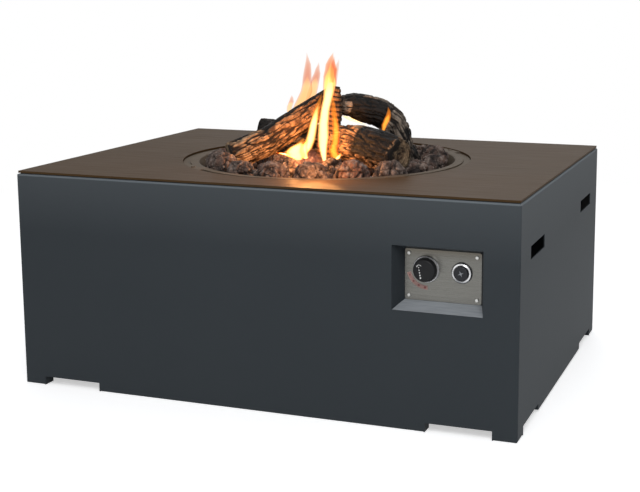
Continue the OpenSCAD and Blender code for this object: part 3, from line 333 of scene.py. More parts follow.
class Graph(Tree):
    """Node tree of one procedural material."""

    def __init__(self, name: str) -> None:
        """Starts a material with its usual shader.

        Args:
            name: Name of the material.
        """
        self.material = bpy.data.materials.new(name)
        self.material.use_nodes = True
        super().__init__(self.material.node_tree)
        self.shader = self.tree.nodes["Principled BSDF"]

    def place(self) -> Socket:
        """Object coordinates, in metres."""
        return self.node("ShaderNodeTexCoord").outputs["Object"]

    def coords(self, stretch: Point = EVEN) -> Socket:
        """Object coordinates, stretched along the axes."""
        return self.node("ShaderNodeMapping", {"Vector": self.place(), "Scale": stretch}).outputs["Vector"]

    def noise(self, scale: float, detail: float = 3.0, stretch: Point = EVEN) -> Socket:
        """Noise from 0 to 1 at so many features to the metre."""
        inputs = {"Vector": self.coords(stretch), "Scale": scale, "Detail": detail}
        return self.node("ShaderNodeTexNoise", inputs).outputs[0]

    def cells(self, scale: float) -> Socket:
        """Distance to the nearest of many seeds, so many to the metre, for pores."""
        return self.node("ShaderNodeTexVoronoi", {"Vector": self.coords(), "Scale": scale}).outputs["Distance"]

    def remap(self, value: Socket, span: Pair, out: Pair = (0.0, 1.0)) -> Socket:
        """Maps a span onto a range, clamped at both ends."""
        inputs = {"Value": value, "From Min": span[0], "From Max": span[1], "To Min": out[0], "To Max": out[1]}
        return self.node("ShaderNodeMapRange", inputs).outputs[0]

    def mix(self, share: Any, first: Any, second: Any) -> Socket:
        """Mixes two colours."""
        inputs = {MIX_SHARE: share, MIX_FIRST: first, MIX_SECOND: second}
        return self.node("ShaderNodeMix", inputs, data_type="RGBA").outputs[MIX_RESULT]

    def fleck(self, under: Any, fleck: Fleck) -> Socket:
        """Lays blotches over a colour."""
        blotches = self.remap(self.noise(fleck.scale, fleck.detail), fleck.span, (0.0, fleck.share))
        return self.mix(blotches, under, fleck.colour)

    def attribute(self, name: str) -> Socket:
        """Value of a mesh attribute."""
        return self.node("ShaderNodeAttribute", attribute_name=name).outputs["Fac"]

    def part(self, vector: Socket, axis: Axis) -> Socket:
        """One coordinate of a vector."""
        return self.node("ShaderNodeSeparateXYZ", {0: vector}).outputs[axis.value]

    def upward(self) -> Socket:
        """1 where the surface looks up, 0 on walls and below."""
        normal = self.node("ShaderNodeNewGeometry").outputs["Normal"]
        return self.remap(self.part(normal, Axis.HEIGHT), (0.45, 0.8))

    def reach(self) -> Socket:
        """Distance from the object's origin, in metres."""
        return self.node("ShaderNodeVectorMath", {0: self.place()}, operation="LENGTH").outputs["Value"]

    def bump(self, height: Socket, strength: float, distance: float) -> None:
        """Feeds the shader a bump whose full height is so many metres."""
        inputs = {"Height": height, "Strength": strength, "Distance": distance}
        self.feed(self.shader.inputs["Normal"], self.node("ShaderNodeBump", inputs).outputs[0])

    def shade(self, colour: Any, roughness: Any, metallic: Any = 0.0, sheen: float = 0.5) -> None:
        """Feeds the shader's main sockets.

        Args:
            colour: A colour, or the socket that gives it.
            roughness: A number, or the socket that gives it.
            metallic: A number, or the socket that gives it.
            sheen: Specular level.
        """
        self.feed(self.shader.inputs["Base Color"], colour)
        self.feed(self.shader.inputs["Roughness"], roughness)
        self.feed(self.shader.inputs["Metallic"], metallic)
        self.shader.inputs["Specular IOR Level"].default_value = sheen


class Coat(Graph):
    """Material of one finish."""

    def __init__(self, name: str, finish: Finish) -> None:
        """Builds the material by the maker of its kind of surface.

        Args:
            name: Name of the material.
            finish: The finish.
        """
        super().__init__(name)
        self.finish = finish
        makers = {
            Surface.GRAIN: self._grain,
            Surface.RING: self._ring,
            Surface.STONE: self._stone,
            Surface.BARK: self._bark,
        }
        makers[finish.surface]()

    def _grain(self) -> None:
        """Fine grain over broad patches, with painted light on faces that look up and painted light and shade by
        height where the finish has them.
        """
        look = self.finish
        fine = self.noise(look.grain, 2.0, look.stretch)
        colour = self.fleck(look.base, Fleck(look.patch, 4.0, (0.35, 0.7), look.shade, look.blend))
        colour = self.mix(self.remap(fine, SOFT, (0.0, 0.35)), colour, look.shade)
        # Painted light, in streaks, on faces that look up.
        if look.top_light:
            streaks = self.remap(self.noise(240.0, stretch=TOP_LIGHT_STREAK_X), (0.2, 0.75), (0.7, 1.0))
            colour = self.mix(self.math("MULTIPLY", self.upward(), streaks), colour, look.top_light)
        # Painted light and painted shade by height.
        for drift in look.drifts:
            height = self.part(self.place(), Axis.HEIGHT)
            colour = self.mix(self.remap(height, drift.span, (0.0, drift.share)), colour, drift.colour)
        rough = self.remap(fine, SOFT, (look.roughness - 0.05, look.roughness + 0.07))
        self.shade(colour, rough, look.metallic, look.sheen)
        self.shader.inputs["Coat Weight"].default_value = look.coat
        self.bump(fine, look.relief, 0.3 * MM)

    def _ring(self) -> None:
        """Black plastic with a bright ring round the foot of the knob."""
        self._grain()
        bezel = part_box("knob_bezel")[0].y
        depth = self.part(self.place(), Axis.DEPTH)
        bright = self.remap(depth, (bezel - RING_SPAN[0], bezel - RING_SPAN[1]))
        plastic = self.shader.inputs["Base Color"].links[0].from_socket
        self.feed(self.shader.inputs["Base Color"], self.mix(bright, plastic, RING_METAL))
        self.feed(self.shader.inputs["Metallic"], bright)

    def _stone(self) -> None:
        """Porous stone, dusty and sooty, with painted shade in its hollows."""
        stone = self.mix(self.attribute("tone"), self.finish.base, STONE_RED)
        soot = Fleck(44.0, 8.0, (0.48, 0.62), self.finish.shade)
        # Painted shade in the hollows.
        deep = self.math("MULTIPLY", self.attribute("hollow"), 0.85)
        colour = self.mix(deep, self.fleck(self.fleck(stone, STONE_DUST), soot), STONE_HOLLOW_SHADE)
        self.shade(colour, self.finish.roughness, sheen=self.finish.sheen)
        pores = self.remap(self.cells(420.0), (0.1, 0.5))
        self.bump(self.math("ADD", pores, self.noise(150.0, 8.0)), 0.9, 3.0 * MM)

    def _bark(self) -> None:
        """Painted bark with orange painted firelight and painted shade in its grooves, ashen or charred where the
        log's attributes say so.
        """
        groove = self.attribute("groove")
        # The tone's orange is painted firelight.
        bark = self.mix(self.attribute("tone"), BARK_TAN, BARK_FIRELIGHT_ORANGE)
        bark = self.fleck(self.fleck(bark, BARK_MOTTLE), BARK_PALE)
        # Painted shade in the grooves of the bark, the ash and the char.
        bark = self.mix(self.remap(groove, (0.1, 0.6)), bark, self.finish.shade)
        ash = self.mix(self.remap(groove, (0.15, 0.7)), self.fleck(ASH_FACE, ASH_PATCH), ASH_GROOVE_SHADE)
        bark = self.mix(self.remap(self.attribute("ash"), (0.25, 0.85)), bark, ash)
        ragged = self.remap(self.noise(45.0, 5.0), SOFT, (-0.3, 0.3))
        burn = self.math("ADD", self.attribute("char"), ragged)
        char = self.mix(self.remap(groove, (0.0, 0.6)), CHAR_FACE, CHAR_GROOVE_SHADE)
        rough = self.remap(burn, (0.3, 0.8), (self.finish.roughness, CHAR_ROUGHNESS))
        self.shade(self.mix(self.remap(burn, (0.35, 0.65)), bark, char), rough, sheen=self.finish.sheen)
        self.bump(self.math("ADD", self.noise(330.0, 6.0), self.noise(120.0, 4.0)), 0.7, 1.4 * MM)


class MaterialLibrary:
    """Builds one material for each slot of the record and gives it to the CAD nodes."""

    def __init__(self, finishes: dict[str, Finish]) -> None:
        """Takes up the finishes, by slot."""
        self.finishes = finishes
        self.built: dict[str, Material] = {}

    def material(self, slot: str) -> Material:
        """Material of a slot, built on first use.

        Args:
            slot: Name of the slot, or of a node's own finish.

        Returns:
            The material.
        """
        if slot not in self.built:
            self.built[slot] = Coat(slot, self.finishes[slot]).material
        return self.built[slot]

    def ink(self, name: str, colour: Colour) -> Material:
        """Printed or painted mark, a little worn.

        Args:
            name: Name of the material.
            colour: The ink's colour, linear.

        Returns:
            The material.
        """
        graph = Graph(name)
        worn = Fleck(1600.0, 3.0, (0.5, 0.75), tuple(0.7 * c for c in colour), 0.4)
        graph.shade(graph.fleck(colour, worn), 0.5)
        return graph.material

    def dress(self, nodes: dict[str, Piece], record: dict[str, Any]) -> None:
        """Gives every CAD node the material of its slot.

        Args:
            nodes: The CAD nodes' objects by name.
            record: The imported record.
        """
        for subpart in record["subparts"]:
            node, slot = subpart["node"], subpart["material_slot"]
            mesh = nodes[node].data
            mesh.materials.clear()
            mesh.materials.append(self.material(OWN_FINISH.get(node, slot)))
            LOG.info("%s: %s", node, slot)


def to_object(name: str, bm: Mesh, material: Material, smooth: bool = True) -> Piece:
    """Turns a bmesh into an object in the scene.

    Args:
        name: Name of the object and of its mesh.
        bm: The finished mesh, freed here.
        material: The object's material.
        smooth: Whether its faces are shaded smooth.

    Returns:
        The new object.
    """
    mesh = bpy.data.meshes.new(name)
    for face in bm.faces:
        face.smooth = smooth
    bm.to_mesh(mesh)
    bm.free()
    mesh.materials.append(material)
    piece = bpy.data.objects.new(name, mesh)
    bpy.context.scene.collection.objects.link(piece)
    return piece


def remeshed(bm: Mesh, voxel: float, rounds: int) -> Mesh:
    """Rebuilds a closed mesh from small even faces and rounds its edges.

    Args:
        bm: The closed mesh, freed here.
        voxel: Size of the new faces, in metres.
        rounds: How many times the vertices are smoothed.

    Returns:
        The new bmesh, with normals up to date.
    """
    mesh = bpy.data.meshes.new("remesh_source")
    bm.to_mesh(mesh)
    bm.free()
    source = bpy.data.objects.new("remesh_source", mesh)
    bpy.context.scene.collection.objects.link(source)
    tool = source.modifiers.new("remesh", "REMESH")
    tool.mode = "VOXEL"
    tool.voxel_size = voxel
    graph = bpy.context.evaluated_depsgraph_get()
    built = bpy.data.meshes.new_from_object(source.evaluated_get(graph))
    result = bmesh.new()
    result.from_mesh(built)
    bpy.data.objects.remove(source)
    bpy.data.meshes.remove(mesh)
    bpy.data.meshes.remove(built)
    for _ in range(rounds):
        axes = {"use_axis_x": True, "use_axis_y": True, "use_axis_z": True}
        bmesh.ops.smooth_vert(result, verts=result.verts, factor=0.5, **axes)
    result.normal_update()
    return result


def clamp(value: float) -> float:
    """Keeps a value between 0 and 1."""
    return min(1.0, max(0.0, value))


def step(low: float, high: float, value: float) -> float:
    """Smooth step from 0 at low to 1 at high."""
    t = clamp((value - low) / (high - low))
    return t * t * (3.0 - 2.0 * t)


def around(centre: Pair, radius: float, turns: Iterable[float]) -> list[Pair]:
    """Points on a circle at so many radians."""
    return [(centre[0] + radius * math.cos(turn), centre[1] + radius * math.sin(turn)) for turn in turns]


def middle(box: tuple[Vector, Vector]) -> Pair:
    """X and z of the middle of a box."""
    low, high = box
    return ((low.x + high.x) / 2, (low.z + high.z) / 2)


def welded(source: Piece) -> Mesh:
    """Copies a CAD node's mesh and joins its doubled vertices.

    Args:
        source: The node's object.

    Returns:
        The closed mesh.
    """
    bm = bmesh.new()
    bm.from_mesh(source.data)
    bmesh.ops.remove_doubles(bm, verts=bm.verts, dist=WELD)
    bm.verts.index_update()
    return bm


def linked(start: bmesh.types.BMVert, seen: set[int]) -> list[bmesh.types.BMVert]:
    """Finds the vertices that edges join to one.

    Args:
        start: The first vertex.
        seen: Numbers of the vertices found so far, added to here.

    Returns:
        The vertices, with the first.
    """
    stack, group = [start], []
    seen.add(start.index)
    while stack:
        vert = stack.pop()
        group.append(vert)
        for edge in vert.link_edges:
            other = edge.other_vert(vert)
            if other.index not in seen:
                seen.add(other.index)
                stack.append(other)
    return group


def islands(source: Piece) -> list[Mesh]:
    """Splits a CAD node into its separate solids.

    Args:
        source: The node's object.

    Returns:
        One closed mesh for each solid.
    """
    bm = welded(source)
    seen: set[int] = set()
    parts: list[Mesh] = []
    for start in bm.verts:
        if start.index not in seen:
            group = linked(start, seen)
            part = bmesh.new()
            copies = {vert.index: part.verts.new(vert.co) for vert in group}
            for face in dict.fromkeys(face for vert in group for face in vert.link_faces):
                part.faces.new([copies[vert.index] for vert in face.verts])
            parts.append(part)
    bm.free()
    return parts


@dataclass(frozen=True)
class Grade:
    """One layer of relief.

    Attributes:
        scale: How fine it is, in features to the metre.
        weight: How much it adds.
    """

    scale: float
    weight: float


@dataclass
class StoneBed:
    """Lava stones of one CAD node, pitted and roughened.

    Attributes:
        node: CAD node that the stones replace.
        seed: Seed of the stones' tones and shapes.
        voxel: Size of the mesh's faces, in metres.
        rounds: How many times the plain stones are smoothed.
        pit_depth: Depth of the largest hollows, in metres.
        reddest: Tone of the reddest stone, from 0 to 1.
        lumps: Broad lumps.
        clods: Rounded clods with dents between them.
        creases: Long creases.
        holes: Burst bubbles.
        pores: Small pores.
    """

    node: str
    seed: int
    voxel: float = 2.5 * MM
    rounds: int = 5
    pit_depth: float = 9.5 * MM
    reddest: float = 0.8
    lumps: Grade = Grade(36.0, 0.28)
    clods: Grade = Grade(42.0, 0.5)
    creases: Grade = Grade(21.0, 0.25)
    holes: Grade = Grade(62.0, 0.24)
    pores: Grade = Grade(190.0, 0.16)

    def _hollow(self, place: Vector) -> float:
        """How far the stone is hollowed out at a place.

        Args:
            place: The place, in metres, moved by the stone's own offset.

        Returns:
            Share of the pit depth.
        """
        lump = noise.fractal(place * self.lumps.scale, 0.8, 2.1, 4)
        near, second = noise.voronoi(place * self.clods.scale)[0][:2]
        clod = 0.9 * near + step(0.1, 0.0, second - near)
        folds = noise.fractal((place + Vector((9.0, 4.0, 2.0))) * self.creases.scale, 0.9, 2.0, 3)
        crease = step(0.14, 0.0, abs(folds))
        hole = step(0.5, 0.15, noise.voronoi(place * self.holes.scale)[0][0])
        pore = step(0.42, 0.12, noise.voronoi(place * self.pores.scale)[0][0])
        depth = self.lumps.weight * lump + self.creases.weight * crease + self.clods.weight * clod
        return clamp(depth + self.holes.weight * hole + self.pores.weight * pore)

    def build(self, source: Piece, library: MaterialLibrary) -> Piece:
        """Builds the stones.

        Args:
            source: The CAD node's object.
            library: Where their material comes from.

        Returns:
            The stones, as one piece.
        """
        dice = random.Random(self.seed)
        whole = bmesh.new()
        tone = whole.verts.layers.float.new("tone")
        hollow = whole.verts.layers.float.new("hollow")
        for solid in islands(source):
            stone = remeshed(solid, self.voxel, self.rounds)
            offset = Vector((dice.uniform(0, 50), dice.uniform(0, 50), dice.uniform(0, 50)))
            redness = self.reddest * dice.random() ** 2.2
            copies = []
            for vert in stone.verts:
                depth = self._hollow(vert.co + offset)
                copy = whole.verts.new(vert.co - vert.normal * self.pit_depth * depth)
                # The second share is the painted shade in the hollows.
                copy[tone], copy[hollow] = redness, step(0.38, 0.85, depth)
                copies.append(copy)
            stone.verts.index_update()
            for face in stone.faces:
                whole.faces.new([copies[vert.index] for vert in face.verts])
            stone.free()
        piece = to_object(f"{self.node}_rough", whole, library.material("lava_stone"))
        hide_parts(self.node)
        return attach(piece, "table")


@dataclass(frozen=True)
class Zone:
    """Stretch of a log that is charred or ashen.

    Attributes:
        start: Where it starts, as a share of the log's length.
        end: Where it ends.
        facing: Direction that its surface faces, or nothing for all round.
        weight: How strong it is.
        edge: How far it fades out past each end, as a share of the log's length.
    """

    start: float
    end: float
    facing: Point | None = None
    weight: float = 1.0
    edge: float = 0.07

    def at(self, along: float, normal: Vector) -> float:
        """Strength at a place on the log.

        Args:
            along: The place, as a share of the log's length.
            normal: Direction that the surface faces there.

        Returns:
            The strength, 0 outside the zone.
        """
        inside = step(self.start - self.edge, self.start + self.edge, along)
        inside *= step(self.end + self.edge, self.end - self.edge, along)
        if self.facing:
            inside *= step(-0.15, 0.55, normal.dot(Vector(self.facing).normalized()))
        return self.weight * inside


class Spot(NamedTuple):
    """Place of a vertex on a log.

    Attributes:
        radius: Distance from the log's axis, in metres.
        along: Distance from the log's start, in metres.
        angle: Angle round the axis, in radians.
        run: Direction of the axis.
    """

    radius: float
    along: float
    angle: float
    run: Vector


@dataclass(frozen=True)
class Stretch:
    """Straight stretch of a log's axis.

    Attributes:
        start: Its first joint, in metres.
        end: Its last joint, in metres.
        side: Direction from which angles round the log count.
        other: Direction a quarter turn on.
        before: Length of the log before it, in metres.
    """

    start: Vector
    end: Vector
    side: Vector
    other: Vector
    before: float

    @property
    def after(self) -> float:
        """Length of the log up to its end, in metres."""
        return self.before + (self.end - self.start).length

    def spot(self, place: Vector) -> Spot:
        """Finds a place along and round the stretch.

        Args:
            place: The place, in metres.

        Returns:
            Where it is, seen from the stretch's nearest point.
        """
        run = self.end - self.start
        share = clamp((place - self.start).dot(run) / run.length_squared)
        out = place - (self.start + run * share)
        angle = math.atan2(out.dot(self.other), out.dot(self.side))
        return Spot(out.length, self.before + share * run.length, angle, run.normalized())


@dataclass
class BarkLog:
    """One ceramic log with grooved bark, sawn ends and burnt stretches.

    Attributes:
        node: CAD node that the log replaces.
        axis: Joints of the log's axis, in millimetres.
        seed: Seed of the bark.
        grooves: Grooves round the log.
        depth: Depth of the grooves, in metres.
        across: Ribs to the metre that run round the log, or 0.
        firelight_ends: Tone of the bark at both ends, from pale tan to orange; the orange is painted firelight.
        char: Charred zones.
        ash: Ashen zones.
        voxel: Size of the mesh's faces, in metres.
        rounds: How many times the plain log is smoothed.
        wander: How the grooves wander round the log.
        groove: Grooves, fine across the log.
        groove_run: Grooves to the metre along it.
        crack: Cracks between the plates of bark, fine across the log.
        crack_run: Cracks to the metre along it.
        fine: Fine roughness all over.
        ribbed: Share of the ribs in the relief of a ribbed log.
        rib_sway: How uneven the ribs are.
        saw_rings: Rings of the sawn ends, in radians to the metre.
        saw_sway: How uneven they are.
    """

    node: str
    axis: Sequence[Point]
    seed: int
    grooves: float = 11.0
    depth: float = 5.0 * MM
    across: float = 0.0
    firelight_ends: Pair = (0.2, 0.8)
    char: Sequence[Zone] = ()
    ash: Sequence[Zone] = ()
    voxel: float = 2.2 * MM
    rounds: int = 4
    wander: Grade = Grade(14.0, 0.35)
    groove: Grade = Grade(1.7, 0.75)
    groove_run: float = 9.0
    crack: Grade = Grade(1.6, 0.45)
    crack_run: float = 26.0
    fine: Grade = Grade(160.0, 0.12)
    ribbed: float = 0.7
    rib_sway: Grade = Grade(40.0, 1.5)
    saw_rings: Grade = Grade(1100.0, 0.35)
    saw_sway: Grade = Grade(60.0, 2.5)

    def _stretches(self) -> list[Stretch]:
        """Follows the log's axis.

        Returns:
            Its straight stretches in order.
        """
        points = [Vector(point) * MM for point in self.axis]
        side = Vector(UP)
        stretches: list[Stretch] = []
        for start, end in zip(points, points[1:]):
            run = (end - start).normalized()
            side = (side - run * side.dot(run)).normalized()
            before = stretches[-1].after if stretches else 0.0
            stretches.append(Stretch(start, end, side, run.cross(side), before))
        return stretches

    def _bark(self, place: Vector, spot: Spot) -> float:
        """Relief of the bark on the log's side.

        Args:
            place: The place on the plain log, in metres.
            spot: Where that is along and round the log.

        Returns:
            Share of the groove depth, which may pass 0 and 1.
        """
        shift = Vector((self.seed * 3.7, self.seed * 1.3, 0.0))
        ring = Vector((math.cos(spot.angle), math.sin(spot.angle), 0.0)) * (self.grooves / math.tau)
        drift = Vector((spot.along * self.wander.scale, spot.angle, 0.0)) + shift
        sway = noise.noise(drift) * self.wander.weight
        grain = ring * (1.0 + sway) + Vector((0.0, 0.0, spot.along * self.groove_run)) + shift
        groove = step(0.22, 0.0, abs(noise.noise(grain * self.groove.scale)))
        plates = Vector((grain.x * self.crack.scale, grain.y * self.crack.scale, spot.along * self.crack_run))
        near, second = noise.voronoi(plates)[0][:2]
        crack = step(0.18, 0.02, second - near)
        depth = self.groove.weight * groove + self.crack.weight * crack
        depth += self.fine.weight * noise.noise(place * self.fine.scale)
        if self.across:
            uneven = self.rib_sway.weight * noise.noise(place * self.rib_sway.scale)
            wave = math.sin(spot.along * self.across * math.tau + uneven)
            depth = (1.0 - self.ribbed) * depth + self.ribbed * step(0.1, 0.95, wave)
        return depth

    def _carve(self, place: Vector, normal: Vector, spot: Spot) -> float:
        """Relief of the log, with bark on its side and rings on its sawn ends.

        Args:
            place: The place on the plain log, in metres.
            normal: Direction that the surface faces there.
            spot: Where that is along and round the log.

        Returns:
            Share of the groove depth.
        """
        sawn = step(0.6, 0.85, abs(normal.dot(spot.run)))
        uneven = noise.noise(place * self.saw_sway.scale) * self.saw_sway.weight
        rings = self.saw_rings.weight * step(0.2, 0.9, math.sin(spot.radius * self.saw_rings.scale + uneven))
        return clamp(self._bark(place, spot) * (1.0 - sawn) + rings * sawn)

    def build(self, source: Piece, library: MaterialLibrary) -> Piece:
        """Builds the log.

        Args:
            source: The CAD node's object.
            library: Where its material comes from.

        Returns:
            The log.
        """
        body = remeshed(welded(source), self.voxel, self.rounds)
        groove, tone, char, ash = (body.verts.layers.float.new(k) for k in ("groove", "tone", "char", "ash"))
        stretches = self._stretches()
        places = []
        for vert in body.verts:
            spot = min((stretch.spot(vert.co) for stretch in stretches), key=lambda found: found.radius)
            depth = self._carve(vert.co, vert.normal, spot)
            share = spot.along / stretches[-1].after
            vert[groove] = depth
            # The tone is the share of the orange painted firelight.
            vert[tone] = self.firelight_ends[0] + (self.firelight_ends[1] - self.firelight_ends[0]) * share
            vert[char] = max([zone.at(share, vert.normal) for zone in self.char], default=0.0)
            vert[ash] = max([zone.at(share, vert.normal) for zone in self.ash], default=0.0)
            places.append(vert.co - vert.normal * self.depth * depth)
        for vert, place in zip(body.verts, places):
            vert.co = place
        piece = to_object(f"{self.node}_bark", body, library.material("ceramic_log"))
        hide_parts(self.node)
        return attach(piece, "table")


@dataclass(frozen=True)
class PressedSpring:
    """Coil spring copied from its CAD node onto the body that carries it.

    Attributes:
        node: CAD node that the spring replaces.
        body: Body that carries its fixed end.
        joint: Joint that presses it along Y. Not used.
        fixed_y: Place of the fixed end, in metres. Not used.
        travel: How far the joint goes, in metres. Not used.
    """

    node: str
    body: str
    joint: str
    fixed_y: float
    travel: float

    def build(self, source: Piece, library: MaterialLibrary, slot: str) -> Piece:
        """Copies the CAD coil and puts it on its body.

        Args:
            source: The CAD node's object.
            library: Where its material comes from.
            slot: The material slot that it takes.

        Returns:
            The spring.
        """
        coil = bmesh.new()
        coil.from_mesh(source.data)
        piece = to_object(f"{self.node}_coil", coil, library.material(slot))
        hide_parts(self.node)
        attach(piece, self.body)
        low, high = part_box(self.node)
        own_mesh(piece)
        return piece


SPRINGS = (
    PressedSpring("spindle_spring", "plug", "knob_push", -0.3212, 4.0 * MM),
    PressedSpring("igniter_spring", "table", "igniter_press", -0.3355, 3.0 * MM),
)


class Ink(Enum):
    """Colours of the printed marks, linear."""

    WHITE = (0.75, 0.75, 0.73)
    RED = (0.2, 0.055, 0.05)
    PINK = (0.34, 0.2, 0.175)
    GREY = (0.25, 0.26, 0.28)


@dataclass
class DialMarks:
    """Thin printed marks on the control plate, the gas knob and the igniter button.

    Places are sideways and upward from the middle of the knob, in millimetres.

    Attributes:
        library: Where the inks come from.
        raised: How far a mark stands out, in metres.
        dots: Places of the first dot on the knob and of each next one from the one before.
        dot_count: How many dots there are.
        dot_radius: Radius of the first dot, and what each next one adds, in millimetres.
        arc: Middle of the arrow's arc on the knob.
        arc_radius: Its radius, in millimetres.
        arc_width: Its width, in millimetres.
        arc_turns: Where it starts and ends, in degrees.
        head: Corners of the arrow's head.
        band_radius: Radius of the arc on the plate, in millimetres.
        band_width: Its width, in millimetres.
        band_turns: Where that arc starts and ends, in degrees.
        spot_ring: Radius on which the dots of that arc stand, in millimetres.
        spot_turns: Where they stand, in degrees.
        spot_radius: Radius of the first of them, and what each next one adds, in millimetres.
        star: Radii of the star's points and of the corners between them, in millimetres.
        star_points: How many points it has.
        star_turn: Where the first stands, in degrees.
    """

    library: MaterialLibrary
    raised: float = 0.12 * MM
    dots: Sequence[Pair] = ((-9.6, 6.0), (0.93, -4.9))
    dot_count: int = 5
    dot_radius: Pair = (0.9, 0.17)
    arc: Pair = (-8.6, 6.4)
    arc_radius: float = 4.6
    arc_width: float = 0.9
    arc_turns: Pair = (35.0, 150.0)
    head: Sequence[Pair] = ((-14.2, 9.0), (-11.5, 9.3), (-13.4, 6.4))
    band_radius: float = 36.6
    band_width: float = 8.0
    band_turns: Pair = (194.0, 272.0)
    spot_ring: float = 36.8
    spot_turns: Sequence[float] = (203.0, 224.0, 244.0, 264.0)
    spot_radius: Pair = (1.5, 0.32)
    star: Pair = (6.4, 1.6)
    star_points: int = 4
    star_turn: float = 22.0

    def _flat(self, name: str, outlines: Sequence[Sequence[Pair]], y: float, ink: Material) -> Piece:
        """Builds flat marks on a plane that faces the front.

        Args:
            name: Name of the piece.
            outlines: Corners of each mark, each its x and z in metres.
            y: Where the plane is, in metres.
            ink: The marks' material.

        Returns:
            The marks, as one piece.
        """
        bm = bmesh.new()
        for outline in outlines:
            face = bm.faces.new([bm.verts.new((x, y, z)) for x, z in outline])
            face.normal_update()
            if face.normal.y > 0:
                face.normal_flip()
        fresh = bmesh.ops.extrude_face_region(bm, geom=list(bm.faces))["geom"]
        corners = [item for item in fresh if isinstance(item, bmesh.types.BMVert)]
        bmesh.ops.translate(bm, verts=corners, vec=(0.0, -self.raised, 0.0))
        bmesh.ops.recalc_face_normals(bm, faces=bm.faces)
        return to_object(name, bm, ink, smooth=False)

    @staticmethod
    def _moved(centre: Pair, x: float, z: float) -> Pair:
        """Moves a place by so many millimetres."""
        return (centre[0] + x * MM, centre[1] + z * MM)

    @staticmethod
    def _disc(centre: Pair, radius: float, sides: int = 20) -> list[Pair]:
        """Outline of a round dot, its radius in millimetres."""
        return around(centre, radius * MM, (math.tau * i / sides for i in range(sides)))

    @staticmethod
    def _band(centre: Pair, radius: float, width: float, turns: Pair, sides: int = 24) -> list[Pair]:
        """Outline of a curved band.

        Args:
            centre: Its centre, in metres.
            radius: Its middle radius, in millimetres.
            width: Its width, in millimetres.
            turns: Where it starts and ends, in degrees.
            sides: Sides of its outer edge.

        Returns:
            The corners.
        """
        start, end = turns
        radians = [math.radians(start + (end - start) * i / sides) for i in range(sides + 1)]
        outer = around(centre, (radius + width / 2) * MM, radians)
        return outer + around(centre, (radius - width / 2) * MM, reversed(radians))

    def build(self) -> list[Piece]:
        """Builds all the marks.

        Returns:
            The marks, each on its body.
        """
        white, red, pink, grey = (self.library.ink(f"mark_{ink.name.lower()}", ink.value) for ink in Ink)
        knob, face_y = middle(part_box("control_knob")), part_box("control_knob")[0].y
        plate_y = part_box("control_plate")[0].y
        (x, z), (step_x, step_z) = self.dots
        dots = [
            self._disc(self._moved(knob, x + step_x * i, z + step_z * i), self.dot_radius[0] + self.dot_radius[1] * i)
            for i in range(self.dot_count)
        ]
        arc = self._band(self._moved(knob, *self.arc), self.arc_radius, self.arc_width, self.arc_turns)
        arrow = [arc, [self._moved(knob, *corner) for corner in self.head]]
        spots = []
        for i, angle in enumerate(self.spot_turns):
            centre = around(knob, self.spot_ring * MM, [math.radians(angle)])[0]
            spots.append(self._disc(centre, self.spot_radius[0] + self.spot_radius[1] * i))
        arch = [self._band(knob, self.band_radius, self.band_width, self.band_turns)]
        band = self._flat("plate_band", arch, plate_y, pink)
        steps = self._flat("plate_band_dots", spots, plate_y - self.raised, red)
        dial = self._flat("knob_dots", dots, face_y, white)
        turn = self._flat("knob_arrow", arrow, face_y, white)
        button, button_y = middle(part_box("igniter_button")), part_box("igniter_button")[0].y
        star = []
        for i, radius in enumerate(self.star * self.star_points):
            angle = math.radians(self.star_turn) + math.pi * i / self.star_points
            star += around(button, radius * MM, [angle])
        spark = self._flat("button_spark", [star], button_y, grey)
        for piece, body, slot in (
            (band, "table", "brushed_plate"),
            (steps, "table", "brushed_plate"),
            (dial, "knob", "knob_plastic"),
            (turn, "knob", "knob_plastic"),
            (spark, "button", "button_plastic"),
        ):
            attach(piece, body)
        return [band, steps, dial, turn, spark]


@dataclass(frozen=True)
class Shell:
    """One nested volume of glowing gas.

    Attributes:
        name: Ending of the object's name.
        girth: Its width, as a share of the tongue's.
        top: Where it ends, as a share of the tongue's length.
        light: Light that it gives off, each colour to the metre.
        smoke: Light that it takes in, each colour to the metre.
    """

    name: str
    girth: float
    top: float
    light: Colour
    smoke: Colour


class Blaze(Enum):
    """Kinds of flame, each a set of nested shells."""

    TALL = (
        Shell("veil", 1.15, 1.0, (16.0, 4.5, 1.2), (9.0, 56.0, 84.0)),
        Shell("body", 1.0, 0.9, (100.0, 86.0, 42.0), (12.0, 20.0, 66.0)),
        Shell("core", 0.72, 0.74, (220.0, 208.0, 150.0), (8.0, 8.0, 14.0)),
    )
    LOW = (
        Shell("veil", 1.2, 1.0, (46.0, 15.0, 1.8), (6.0, 30.0, 70.0)),
        Shell("body", 1.0, 0.92, (100.0, 84.0, 40.0), (10.0, 16.0, 40.0)),
        Shell("core", 0.7, 0.8, (170.0, 158.0, 100.0), (6.0, 6.0, 12.0)),
    )
    THIN = (
        Shell("veil", 1.1, 1.0, (62.0, 19.0, 2.0), (8.0, 34.0, 70.0)),
        Shell("body", 0.7, 0.75, (80.0, 50.0, 10.0), (10.0, 20.0, 50.0)),
    )
    SMOKY = (
        Shell("veil", 1.12, 1.0, (5.0, 2.0, 1.2), (13.0, 56.0, 76.0)),
        Shell("body", 0.98, 0.58, (30.0, 38.0, 24.0), (2.0, 4.0, 26.0)),
    )
    TIP = (Shell("veil", 1.0, 1.0, (5.0, 2.0, 1.2), (16.0, 44.0, 56.0)),)
    EMBER = (Shell("veil", 1.0, 1.0, (7.0, 2.2, 1.2), (1.0, 4.0, 5.0)),)


@dataclass(frozen=True)
class Flame:
    """One tongue of fire.

    Attributes:
        name: Name of the object.
        blaze: Kind of flame.
        depth: Where it stands, from the table's middle towards the back, in millimetres.
        spine: Points up the middle, each its x, its height and the half width there, in millimetres.
    """

    name: str
    blaze: Blaze
    depth: float
    spine: Sequence[Point]


